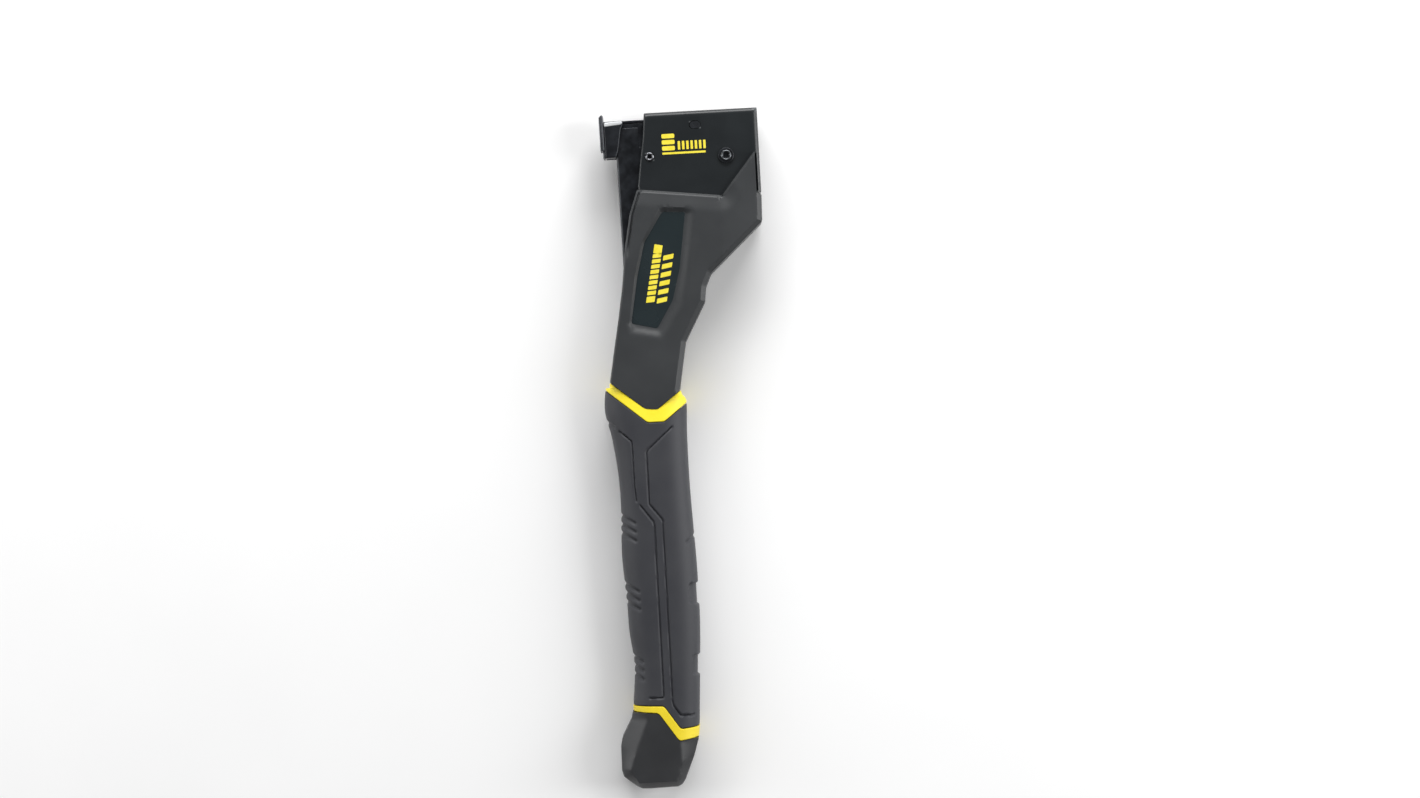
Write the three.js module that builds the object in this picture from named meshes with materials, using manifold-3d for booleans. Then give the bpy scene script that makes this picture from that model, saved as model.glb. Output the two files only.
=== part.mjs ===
// Hammer tacker: a staple gun that is swung like a hammer.
// Millimetres. The tool lies on its side: +Y runs from the butt cap to the head, the struck side faces -X,
// and Z is the thickness. Most pieces are drawn about the magazine pivot, which is at X = PIVOT_X, Y = 0;
// the whole group is moved at the end, so that its origin is the middle of the face it lies on.

import * as THREE from 'three';
import Module from 'manifold-3d';
import { mergeVertices } from 'three/addons/utils/BufferGeometryUtils.js';
import { LoftGeometry } from 'three/addons/geometries/LoftGeometry.js';
import { ConvexGeometry } from 'three/addons/geometries/ConvexGeometry.js';

// ---------------------------------------------------------------- driving dimensions

const GAP = 0.3; // between pieces that touch
const RUN = 0.35; // between pieces that slide or swing past each other

// overall
const REACH = 335.6; // pivot to the head's top face
const HEAD_WIDTH = 62.6; // right side of the head frame

// staples: flat crown wire stapled in sticks
const CROWN_WIDTH = 10.6;
const LEG_LENGTH = 9.7;
const WIRE = 0.6;

// magazine, in its own frame: u across, v along, from the pivot
const LEAN = 0.516; // degrees that the magazine leans out at rest
const TRAVEL = 20.2; // how far the nose is pushed in by a blow
const CHANNEL_WALL = 1.2;
const CHANNEL_WEB = 0.9;
const WEB_U = -6; // outer face of the channel's web
const COVER = 0.7;
const CHEEK_WALL = 1.6;
const RAIL_WALL = 0.9;

// head frame and driver
const PLATE = 2;
const PLATE_CLEARANCE = 2; // leaves room for the magazine's hooks
const BLADE = 1.2;
const BOLT_R = 2.5;
const STOP_R = 2.35;
const PIVOT_R = 2.5;

// handle
const SKIN = 4.7; // shell thickness over the frame's plates
const GRIP_WALL = 3;
const CAP_WALL = 2.3;
const BOSS_R = 1.5; // shell screws

// ---------------------------------------------------------------- sizes worked out from them

const PIVOT_X = -6;
const CHANNEL_IN = CROWN_WIDTH / 2 + 0.2;
const CHANNEL_OUT = CHANNEL_IN + CHANNEL_WALL;
const CHEEK_IN = CHANNEL_OUT + GAP;
const CHEEK_OUT = CHEEK_IN + CHEEK_WALL;
const PLATE_IN = CHEEK_OUT + PLATE_CLEARANCE;
const PLATE_OUT = PLATE_IN + PLATE;
const POCKET_OUT = PLATE_OUT + GAP;
const BODY_HALF = POCKET_OUT + SKIN;
const GRIP_HALF = BODY_HALF - 0.3;
const CORE_INSET = GRIP_WALL + GAP;
const SPIGOT_INSET = CORE_INSET + 1.5;

const RAIL_TOP = WEB_U + CHANNEL_WEB + LEG_LENGTH - 0.1; // the crowns ride on it
const RAIL_OUT = CHANNEL_IN - WIRE - 0.75;
const PUSHER_TOP = RAIL_TOP + GAP + 0.8;
const COVER_U = PUSHER_TOP + GAP;
const CHANNEL_U = COVER_U + COVER; // open edge of the channel's walls

const SLOT_V = REACH - 7.2; // where the staple track ends and the driver slot begins
const FRONT_V = REACH - 4.6; // inner face of the nose's front guide plate
const BLADE_V = REACH - 6.6; // inner face of the driver blade
const BLADE_TIP_U = -9.5;
const BLADE_END_U = 30.5;
const BLOCK_U = 17; // front of the driver block
const SWING = THREE.MathUtils.radToDeg(Math.asin(TRAVEL / (REACH - 6)));
const DRIVER_TURN = LEAN - SWING + 0.81; // the blade is square to the magazine near mid stroke
const STRUCK = LEAN - SWING;

// the neck's height moves with the head, and what is below it is spaced in proportion
const NECK = REACH - 151.6;
const along = (y) => (y * NECK) / 184;
const fromTop = (d) => REACH - d;

// ---------------------------------------------------------------- solids

const wasm = await Module();
wasm.setup();

function solid(geometry) {
  const bare = new THREE.BufferGeometry();
  bare.setAttribute('position', geometry.getAttribute('position'));
  bare.setIndex(geometry.getIndex());
  const merged = mergeVertices(bare, 1e-4);
  return new wasm.Manifold(
    new wasm.Mesh({
      numProp: 3,
      vertProperties: merged.getAttribute('position').array,
      triVerts: new Uint32Array(merged.index.array),
    }),
  );
}

function surface(body) {
  const { vertProperties, triVerts } = body.getMesh();
  const geometry = new THREE.BufferGeometry();
  geometry.setAttribute('position', new THREE.BufferAttribute(vertProperties, 3));
  geometry.setIndex(new THREE.BufferAttribute(triVerts, 1));
  const flat = geometry.toNonIndexed();
  flat.computeVertexNormals();
  return flat;
}

const join = (first, ...others) => others.reduce((body, other) => body.add(other), first);
const cut = (first, ...others) => others.reduce((body, other) => body.subtract(other), first);
const within = (first, ...others) => others.reduce((body, other) => body.intersect(other), first);

// A box between two corners.
function box([x0, y0, z0], [x1, y1, z1]) {
  const geometry = new THREE.BoxGeometry(x1 - x0, y1 - y0, z1 - z0);
  geometry.translate((x0 + x1) / 2, (y0 + y1) / 2, (z0 + z1) / 2);
  return solid(geometry);
}

// An outline in XY, made solid from z0 to z1, with its rims chamfered or rounded by bevel.
function slab(points, z0, z1, bevel = 0, bevelSegments = 1) {
  const shape = new THREE.Shape(points.map(([x, y]) => new THREE.Vector2(x, y)));
  const geometry = new THREE.ExtrudeGeometry(shape, {
    depth: z1 - z0 - 2 * bevel,
    bevelEnabled: bevel > 0,
    bevelThickness: bevel,
    bevelSize: bevel,
    bevelOffset: -bevel,
    bevelSegments,
  });
  geometry.translate(0, 0, z0 + bevel);
  return solid(geometry);
}

// A round bar along Z.
function bar(r, x, y, z0, z1, sides = 24) {
  const geometry = new THREE.CylinderGeometry(r, r, z1 - z0, sides);
  geometry.rotateX(Math.PI / 2);
  geometry.translate(x, y, (z0 + z1) / 2);
  return solid(geometry);
}

// A solid turned about Z, from [radius, z] points that start and end on the axis.
function turned(profile, x, y, sides = 28) {
  const geometry = new THREE.LatheGeometry(profile.map(([r, z]) => new THREE.Vector2(r, z)), sides);
  geometry.rotateX(Math.PI / 2);
  geometry.translate(x, y, 0);
  return solid(geometry);
}

// The same outline a distance d further out (or in, when d is negative), with mitred corners.
function offset(points, d) {
  const area = points.reduce((sum, [x, y], i) => {
    const [nx, ny] = points[(i + 1) % points.length];
    return sum + x * ny - nx * y;
  }, 0);
  const side = Math.sign(area) * d;
  return points.map(([x, y], i) => {
    const [px, py] = points[(i + points.length - 1) % points.length];
    const [nx, ny] = points[(i + 1) % points.length];
    const a = new THREE.Vector2(y - py, px - x).normalize();
    const b = new THREE.Vector2(ny - y, x - nx).normalize();
    const scale = side / (1 + a.dot(b));
    return [x + (a.x + b.x) * scale, y + (a.y + b.y) * scale];
  });
}

// A value that follows [y, x] points smoothly.
function curveOver(points) {
  const spline = new THREE.SplineCurve(points.map(([y, x]) => new THREE.Vector2(y, x)));
  const samples = spline.getPoints(points.length * 8);
  return (y) => {
    const found = samples.findIndex((p) => p.x >= y);
    const i = found < 0 ? samples.length - 1 : Math.max(found, 1);
    const [a, b] = [samples[i - 1], samples[i]];
    return THREE.MathUtils.lerp(a.y, b.y, THREE.MathUtils.clamp((y - a.x) / (b.x - a.x), 0, 1));
  };
}

// ---------------------------------------------------------------- group and materials

const tool = new THREE.Group();
const magazine = new THREE.Group(); // leans with the magazine
const struck = new THREE.Group(); // square to the magazine when it is fully pushed in
const driver = new THREE.Group(); // square to the driver blade
for (const [group, turn] of [[magazine, LEAN], [struck, STRUCK], [driver, DRIVER_TURN]]) {
  group.position.x = PIVOT_X;
  group.rotation.z = THREE.MathUtils.degToRad(turn);
  tool.add(group);
}

const finish = (color, roughness, metalness) => ({ color, roughness, metalness });
const PAINT = finish(0x23292c, 0.4, 0.3);
const DARK_STEEL = finish(0x3a3e42, 0.45, 0.8);
const STEEL = finish(0x7d8083, 0.35, 0.95);
const BRIGHT = finish(0xb4b6b8, 0.25, 1);
const COMPOSITE = finish(0x414345, 0.6, 0);
const RUBBER = finish(0x45464a, 0.85, 0);
const CAP = finish(0x38393b, 0.65, 0);
const GLOSS = finish(0x262e31, 0.2, 0);
const YELLOW = finish(0xf2dc22, 0.6, 0);
const BLACK_RUBBER = finish(0x1c1c1d, 0.9, 0);
const NATURAL = finish(0xc9c4b4, 0.5, 0);

function add(parent, name, body, look) {
  const mesh = new THREE.Mesh(surface(body), new THREE.MeshStandardMaterial(look));
  mesh.name = name;
  parent.add(mesh);
}

// A point given in a turned group's frame, in the tool's frame.
function placed(turn, u, v) {
  const angle = THREE.MathUtils.degToRad(turn);
  const [c, s] = [Math.cos(angle), Math.sin(angle)];
  return [PIVOT_X + u * c - v * s, u * s + v * c];
}

// A point of the tool's frame, in a turned group's frame.
function seen(turn, x, y) {
  const angle = THREE.MathUtils.degToRad(-turn);
  const [c, s] = [Math.cos(angle), Math.sin(angle)];
  return [(x - PIVOT_X) * c - y * s, (x - PIVOT_X) * s + y * c];
}

// ---------------------------------------------------------------- the handle's section

const handleLeft = curveOver([
  [-40, -21.4], [0, -21.6], [along(15), -21.7], [along(24), -20.8], [along(38), -20], [along(55), -21.8],
  [along(72), -22.3], [along(97), -23.6], [along(122), -22.8], [along(140), -23.2], [along(160), -25.5],
  [along(175), -28.6], [along(187), -27.6], [along(191), -24.7], [along(210), -20.8],
]);
const handleRight = curveOver([
  [-40, 4], [-14, 9.4], [along(-4), 12.9], [along(15), 14.4], [along(35), 15.6], [along(60), 16.9],
  [along(90), 16.8], [along(130), 15.4], [along(160), 15.3], [along(178), 15.9], [along(184), 13.2],
  [along(192), 14.2],
]);
const SECTION_POINTS = 24;
const SECTION_POWER = 3.2;
const SECTION_STEP = 9;

// The handle between two heights, each section a rounded box that is inset from the outer surface.
// Its stations are whole steps, so that pieces of different inset nest exactly.
function handle(inset, y0, y1) {
  const sections = [];
  for (let i = Math.floor(y0 / SECTION_STEP); i <= Math.ceil(y1 / SECTION_STEP); i++) {
    const y = i * SECTION_STEP;
    const [left, right] = [handleLeft(y) + inset, handleRight(y) - inset];
    const round = (value) => Math.sign(value) * Math.abs(value) ** (2 / SECTION_POWER);
    sections.push(Array.from({ length: SECTION_POINTS }, (_, k) => {
      const t = ((k + 0.5) / SECTION_POINTS) * 2 * Math.PI;
      const x = (left + right) / 2 - ((right - left) / 2) * round(Math.cos(t));
      return new THREE.Vector3(x, y, (GRIP_HALF - inset) * round(Math.sin(t)));
    }));
  }
  return solid(new LoftGeometry(sections, { capStart: true, capEnd: true }));
}

// The lines across the handle, each from left to right.
const FAR = 60;
const chevronTop = [
  [-FAR, along(190.5) + 28.6], [-6.5, along(175.7)], [0, along(175)], [FAR, along(184.3) + 35],
];
const chevronFoot = [
  [-FAR, along(187.2) + 27], [-5.5, along(168.3)], [3.5, along(168.3)], [FAR, along(178) + 34],
];
const bandTop = [[-FAR, along(17)], [-5, along(14.6)], [3.5, along(1.8)], [FAR, along(6)]];
const bandFoot = [[-FAR, along(15.6)], [-8, along(10.8)], [2.4, along(-4.7)], [FAR, along(2.5)]];
const shifted = (line, dy) => line.map(([x, y]) => [x, y + dy]);

// The strip of the handle between a lower and an upper line.
const stripBetween = (lower, upper) => slab([...lower, ...[...upper].reverse()], -FAR, FAR);

// ---------------------------------------------------------------- head frame and its fasteners

const frameOutline = [
  [1.3, REACH], [0, fromTop(13.6)], [-2, fromTop(25.6)], [-3.9, fromTop(39.6)], [-1.5, fromTop(52)],
  [4, fromTop(72)], [HEAD_WIDTH - 20.6, fromTop(72)], [HEAD_WIDTH - 7.6, fromTop(62)],
  [HEAD_WIDTH - PLATE - 1, fromTop(49)], [HEAD_WIDTH - PLATE, fromTop(46.1)], [HEAD_WIDTH, fromTop(46.1)],
  [HEAD_WIDTH, REACH],
];
const BOLT = [HEAD_WIDTH - 18, fromTop(25.3)];
const STOP = [3.25, fromTop(23.8)];
const TENON = placed(DRIVER_TURN, BLOCK_U + 5.16, fromTop(6.73)); // the driver block's, seen in the plates

const SCREWS = [
  [HEAD_WIDTH - 11.6, fromTop(54)], [33, fromTop(82)], [-18.6, fromTop(132)], [7.6, along(40)],
  [9.4, along(110)],
];
const FRAME_SCREWS = 1; // only the first of them passes through the frame's plates

function ovalAt([x, y], length, height, count = 20) {
  return Array.from({ length: count }, (_, i) => {
    const t = (i / count) * 2 * Math.PI;
    const shift = (Math.sign(Math.cos(t)) * (length - height)) / 2;
    return [x + shift + (height / 2) * Math.cos(t), y + (height / 2) * Math.sin(t)];
  });
}

function headFrame() {
  const folded = slab([...frameOutline].reverse(), -PLATE_OUT, PLATE_OUT, 0.8, 2);
  const inside = box([-FAR, fromTop(160), -PLATE_IN], [HEAD_WIDTH - PLATE, fromTop(PLATE), PLATE_IN]);
  const holes = [
    bar(BOLT_R + GAP, ...BOLT, -FAR, FAR),
    bar(STOP_R + GAP, ...STOP, -FAR, FAR),
    slab(ovalAt(TENON, 5.9 + 2 * GAP, 4 + 2 * GAP), -FAR, FAR),
    ...SCREWS.slice(0, FRAME_SCREWS).map(([x, y]) => bar(BOSS_R + 2.2, x, y, -FAR, FAR)),
  ];
  add(tool, 'head_frame', cut(folded, inside, ...holes), PAINT);
}

function stopRivets() {
  for (const [side, name] of [[1, 'stop_rivet_left'], [-1, 'stop_rivet_right']]) {
    const [near, far] = [CHEEK_OUT + RUN, PLATE_OUT + 0.9];
    const ends = side > 0 ? [near, far] : [-far, -near];
    const body = bar(STOP_R, ...STOP, ...ends);
    add(tool, name, cut(body, bar(1.2, ...STOP, -FAR, FAR, 16)), BRIGHT);
  }
}

function clampBolt() {
  const headBase = PLATE_OUT + GAP;
  const bolt = turned(
    [
      [0, -headBase - 4.4], [BOLT_R, -headBase - 4.4], [BOLT_R, headBase], [4.25, headBase],
      [4.25, headBase + 1.3], [3.6, headBase + 2], [2.5, headBase + 2], [2.1, headBase + 1.5],
      [1.35, headBase + 1.5], [1.35, headBase + 0.5], [0, headBase + 0.5],
    ],
    ...BOLT,
  );
  add(tool, 'clamp_bolt', bolt, BRIGHT);
  const nut = bar(4.6, ...BOLT, -headBase - 4, -headBase, 6);
  add(tool, 'clamp_nut', cut(nut, bar(BOLT_R + GAP, ...BOLT, -FAR, FAR)), BRIGHT);
  const spacer = bar(5, ...BOLT, -PLATE_IN + GAP, PLATE_IN - GAP);
  add(tool, 'clamp_spacer', cut(spacer, bar(BOLT_R + GAP, ...BOLT, -FAR, FAR)), STEEL);
}

// ---------------------------------------------------------------- driver

const RIVETS_U = [BLOCK_U + 4.8, BLOCK_U + 10];

function driverPieces() {
  const [tenonU, tenonV] = seen(DRIVER_TURN, ...TENON);
  const z = PLATE_IN - GAP;
  const body = join(
    box([BLOCK_U, fromTop(15.6), -z], [BLADE_END_U + 1.8, fromTop(3.2), z]),
    slab(ovalAt([tenonU, tenonV], 5.9, 4), -PLATE_OUT + 0.2, PLATE_OUT - 0.2),
  );
  const slot = box(
    [BLOCK_U - 1, BLADE_V - GAP, -CROWN_WIDTH / 2 - GAP],
    [BLADE_END_U + GAP, BLADE_V + BLADE + GAP, CROWN_WIDTH / 2 + GAP],
  );
  const upright = (r, u, v0, v1) => {
    const geometry = new THREE.CylinderGeometry(r, r, v1 - v0, 20);
    geometry.translate(u, (v0 + v1) / 2, 0);
    return solid(geometry);
  };
  const holes = RIVETS_U.map((u) => upright(1.3 + GAP, u, fromTop(14), REACH));
  const blade = box(
    [BLADE_TIP_U, BLADE_V, -CROWN_WIDTH / 2],
    [BLADE_END_U, BLADE_V + BLADE, CROWN_WIDTH / 2],
  );
  add(driver, 'driver_block', cut(body, slot, ...holes), DARK_STEEL);
  add(driver, 'driver_blade', cut(blade, ...holes), STEEL);
  RIVETS_U.forEach((u, i) => {
    const shank = upright(1.3, u, fromTop(13.4), fromTop(2.6));
    const head = upright(2.2, u, fromTop(2.9), fromTop(2.2));
    add(driver, `driver_rivet_${i + 1}`, join(shank, head), BRIGHT);
  });
}

// ---------------------------------------------------------------- return spring, its seats and the bumper

const SPRING_V = REACH - 38.6;
const SPRING_R = 6;
const SPRING_WIRE = 0.8;
const SPRING_TURNS = 8;
const CUP_U = CHANNEL_U + GAP;
const CUP = 1.2;
const SEAT_X = BOLT[0] - 7.6;
const BUMPER_V = [REACH - 67.6, REACH - 52];

class Helix extends THREE.Curve {
  constructor(radius, length, turns) {
    super();
    Object.assign(this, { radius, length, turns });
  }

  getPoint(t, target = new THREE.Vector3()) {
    const angle = t * this.turns * 2 * Math.PI;
    return target.set(t * this.length, Math.cos(angle) * this.radius, Math.sin(angle) * this.radius);
  }
}

function returnSpring() {
  const cupFace = placed(LEAN, CUP_U + CUP, SPRING_V)[0];
  const start = cupFace + SPRING_WIRE + 0.5;
  const length = SEAT_X - SPRING_WIRE - GAP - start;
  const wire = new THREE.Shape().absarc(0, 0, SPRING_WIRE, 0, 2 * Math.PI);
  const geometry = new THREE.ExtrudeGeometry(wire, {
    extrudePath: new Helix(SPRING_R - SPRING_WIRE, length, SPRING_TURNS),
    steps: SPRING_TURNS * 14,
    curveSegments: 3,
  });
  geometry.translate(start, SPRING_V, 0);
  add(tool, 'return_spring', solid(geometry), BRIGHT);

  const z = CHANNEL_OUT - 0.3;
  const boss = new THREE.CylinderGeometry(3.8, 3.8, 4, 20);
  boss.rotateZ(Math.PI / 2);
  boss.translate(CUP_U + CUP + 1.6, SPRING_V, 0);
  const cup = box([CUP_U, SPRING_V - 7, -z], [CUP_U + CUP, SPRING_V + 7, z]);
  add(magazine, 'spring_cup', join(cup, solid(boss)), STEEL);

  const pilot = new THREE.CylinderGeometry(3.8, 3.8, 6, 20);
  pilot.rotateZ(Math.PI / 2);
  pilot.translate(SEAT_X - 1, SPRING_V, 0);
  const seatZ = PLATE_IN - GAP;
  const seat = box([SEAT_X, fromTop(46), -seatZ], [BOLT[0] + 7.4, BOLT[1] + 6.7, seatZ]);
  const hole = bar(5 + GAP, ...BOLT, -FAR, FAR);
  add(tool, 'spring_seat', cut(join(seat, solid(pilot)), hole), COMPOSITE);
}

function strikeBumper() {
  const z = PLATE_IN - 0.7;
  const outline = [
    [CHANNEL_U + GAP, BUMPER_V[0]], [CHANNEL_U + 10, BUMPER_V[0]], [CHANNEL_U + 10, BUMPER_V[1]],
    [CHANNEL_U + GAP, BUMPER_V[1]],
  ];
  add(struck, 'strike_bumper', slab(outline, -z, z, 0.8), BLACK_RUBBER);
}

// ---------------------------------------------------------------- body shells

const bodyOutline = [
  [-4.6, fromTop(41.3)], [HEAD_WIDTH - 21.3, fromTop(46.9)], [HEAD_WIDTH - PLATE - GAP, fromTop(23.4)],
  [HEAD_WIDTH - PLATE - GAP, fromTop(46.4)],
  [HEAD_WIDTH, fromTop(47.4)], [HEAD_WIDTH - 0.4, fromTop(62)], [33.1, fromTop(88.5)], [30, fromTop(95.5)],
  [29, fromTop(103.6)], [17.4, fromTop(124.8)], [14.6, fromTop(140)], [13, NECK], [12.4, NECK - 3],
  [0, along(175) - 1], [-6.5, along(175.7) - 1], [-27, along(187)],
  [-24.7, fromTop(144.6)], [-21.2, fromTop(126)], [-15.6, fromTop(95.6)], [-14.3, fromTop(86)],
  [-12.6, fromTop(72)], [-9.2, fromTop(54.6)],
];
const SLOT_FOOT = fromTop(97.6); // below this the shells close over the magazine
const SPIGOT_END = -14;

// The room that the magazine needs between rest and the end of a blow, and the head's inside above it.
function swingRoom() {
  const restLeft = (v) => placed(LEAN, WEB_U - 0.6, v);
  const struckRight = (v) => placed(STRUCK, CHANNEL_U + RUN, v);
  const restRight = (v) => placed(LEAN, CHANNEL_U + RUN, v);
  const top = fromTop(50);
  const outline = [
    restLeft(-30), [restRight(-30)[0], -30], restRight(0), struckRight(40), struckRight(top - 1),
    [HEAD_WIDTH - PLATE - 0.6, top], [HEAD_WIDTH - PLATE - 0.6, REACH + 5], [-FAR, REACH + 5],
    [-FAR, SLOT_FOOT + 4], [restLeft(SLOT_FOOT)[0], SLOT_FOOT],
  ];
  return slab(outline, -PLATE_IN, PLATE_IN);
}

function shellRoom() {
  const plates = slab(offset([...frameOutline].reverse(), GAP), PLATE_IN - 0.3, POCKET_OUT);
  const flip = new THREE.Matrix4().makeScale(1, 1, -1);
  const lower = plates.transform(flip.elements);
  const above = box(
    [-FAR, fromTop(49), -POCKET_OUT],
    [HEAD_WIDTH - PLATE - GAP - SKIN + 2, REACH, POCKET_OUT],
  );
  const bumperRoom = [
    [-2, BUMPER_V[0] - GAP], [CHANNEL_U + 10 + GAP, BUMPER_V[0] - GAP],
    [CHANNEL_U + 10 + GAP, BUMPER_V[1] + GAP], [-2, BUMPER_V[1] + GAP],
  ];
  const bumper = slab(bumperRoom.map(([u, v]) => placed(STRUCK, u, v)), -PLATE_IN + 0.4, PLATE_IN - 0.4);
  return join(swingRoom(), plates, lower, above, bumper);
}

function bodyShells() {
  const skin = slab([...bodyOutline].reverse(), -BODY_HALF, BODY_HALF, 2.2, 2);
  const shown = cut(skin, stripBetween([[-FAR, -FAR], [FAR, -FAR]], shifted(chevronTop, GAP)));
  const core = handle(CORE_INSET, 0, along(192));
  const coreEnd = [[-FAR, along(192)], [FAR, along(192)]];
  const coreShown = within(core, stripBetween(shifted(bandFoot, 2 * GAP), coreEnd));
  const spigot = within(
    handle(SPIGOT_INSET, SPIGOT_END, along(30)),
    box([-FAR, SPIGOT_END, -FAR], [FAR, along(30), FAR]),
  );
  const both = cut(join(shown, coreShown, spigot), shellRoom(), ...labelRecesses());
  const pivotHoles = bar(PIVOT_R + GAP, PIVOT_X, 0, -FAR, FAR);
  for (const [side, name] of [[1, 'body_shell_left'], [-1, 'body_shell_right']]) {
    const half = side > 0 ? box([-FAR, -FAR, GAP / 2], [2 * FAR, 500, FAR])
      : box([-FAR, -FAR, -FAR], [2 * FAR, 500, -GAP / 2]);
    add(tool, name, cut(within(both, half), pivotHoles, ...SCREWS.map(screwHole)), COMPOSITE);
  }
}

const isUnderGrip = ([, y]) => y < along(160);
const screwHead = (at) => (isUnderGrip(at) ? GRIP_HALF - CORE_INSET - 6.4 : BODY_HALF - 2.6);
const SCREW_HEAD_R = 2.5;
const SCREW_END = 10;

function screwHole(at) {
  const shank = bar(BOSS_R + GAP, ...at, -FAR, SCREW_END + 0.6, 16);
  return join(shank, bar(SCREW_HEAD_R + GAP, ...at, -FAR, -screwHead(at) + 2, 16));
}

function shellScrews() {
  SCREWS.forEach((at, i) => {
    const head = screwHead(at);
    const profile = [
      [0, -head + 0.6], [1.2, -head + 0.6], [1.4, -head], [SCREW_HEAD_R - 0.4, -head],
      [SCREW_HEAD_R, -head + 0.5], [SCREW_HEAD_R, -head + 1.7], [BOSS_R, -head + 1.7],
      [BOSS_R, SCREW_END], [0, SCREW_END],
    ];
    add(tool, `shell_screw_${i + 1}`, turned(profile, ...at, 14), BRIGHT);
  });
}

// ---------------------------------------------------------------- label panels

const labelOutline = [
  [8.4, fromTop(54.2)], [20.8, fromTop(55)], [19.7, fromTop(62.6)], [16.3, fromTop(85)],
  [11.6, fromTop(102.1)], [2.5, fromTop(116.9)], [-11.3, fromTop(113.6)], [-6.9, fromTop(89)],
  [-2, fromTop(70.1)],
];
const LABEL = 1.2;
const LABEL_DROP = 0.4;

function labelRecesses() {
  const deep = BODY_HALF - LABEL_DROP - LABEL - GAP;
  const outline = offset([...labelOutline].reverse(), GAP);
  return [slab(outline, deep, FAR), slab(outline, -FAR, -deep)];
}

function labelPanels() {
  const face = BODY_HALF - LABEL_DROP;
  const outline = [...labelOutline].reverse();
  add(tool, 'label_panel_left', slab(outline, face - LABEL, face, 0.3), GLOSS);
  add(tool, 'label_panel_right', slab(outline, -face, LABEL - face, 0.3), GLOSS);
}

// ---------------------------------------------------------------- grip and bands

function sleeve(lower, upper, y0, y1, proud = 0) {
  const ring = cut(handle(-proud, y0, y1), handle(GRIP_WALL, y0 - 1, y1 + 1));
  return within(ring, stripBetween(lower, upper));
}

function gripPieces() {
  const grip = sleeve(shifted(bandTop, GAP), shifted(chevronFoot, -GAP), along(-2), along(188));
  add(tool, 'grip_sleeve', grip, RUBBER);
  add(tool, 'accent_band_upper', sleeve(chevronFoot, chevronTop, along(160), along(192), 0.15), YELLOW);
  add(tool, 'accent_band_lower', sleeve(shifted(bandFoot, GAP), bandTop, along(-9), along(20), 0.1), YELLOW);
}

// ---------------------------------------------------------------- pivot

function pivotPieces() {
  for (const [side, name] of [[1, 'left'], [-1, 'right']]) {
    const span = (near, far) => (side > 0 ? [near, far] : [-far, -near]);
    const pin = bar(PIVOT_R, PIVOT_X, 0, ...span(CHANNEL_IN + 0.2, GRIP_HALF - SPIGOT_INSET - 0.6));
    add(tool, `pivot_pin_${name}`, pin, BRIGHT);
    const bush = bar(4.5, PIVOT_X, 0, ...span(CHANNEL_OUT + GAP, PLATE_IN - GAP));
    const bore = bar(PIVOT_R + GAP, PIVOT_X, 0, -FAR, FAR);
    add(tool, `pivot_bush_${name}`, cut(bush, bore), NATURAL);
  }
}

// ---------------------------------------------------------------- magazine

const CHANNEL_END = -9;

function magazineChannel() {
  const outer = box([WEB_U, CHANNEL_END, -CHANNEL_OUT], [CHANNEL_U, SLOT_V, CHANNEL_OUT]);
  const inner = box(
    [WEB_U + CHANNEL_WEB, CHANNEL_END - 1, -CHANNEL_IN],
    [CHANNEL_U + 1, SLOT_V + 1, CHANNEL_IN],
  );
  const [stopU, stopV] = seen(LEAN, ...STOP);
  const hookU = stopU + STOP_R + GAP;
  const ears = [];
  for (const side of [1, -1]) {
    const [near, far] = [CHANNEL_IN, CHANNEL_OUT].map((z) => z * side);
    const tip = (PLATE_IN - GAP) * side;
    const ear = (u0, u1, z0, z1, v0, v1) => (
      box([u0, v0, Math.min(z0, z1)], [u1, v1, Math.max(z0, z1)])
    );
    ears.push(ear(CHANNEL_U - 1, hookU + 2, near, far, stopV - 6, stopV + 6));
    ears.push(ear(hookU, hookU + 2, near, tip, stopV - 4.5, stopV + 4.5));
  }
  const bore = bar(PIVOT_R + GAP, 0, 0, -FAR, FAR);
  add(magazine, 'magazine_channel', cut(join(cut(outer, inner), ...ears), bore), DARK_STEEL);

  const z = CHANNEL_IN - GAP;
  const cover = box([COVER_U, 14, -z], [CHANNEL_U, fromTop(47), z]);
  add(magazine, 'magazine_cover', cover, STEEL);
}

// ---------------------------------------------------------------- nose

const SHOE_U = -14.4; // the face that meets the work
const SHOE = 2.2;
const CHEEK_U = SHOE_U + SHOE + GAP;
const NOSE_SCREWS_V = [fromTop(17), fromTop(11.2)];

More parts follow.
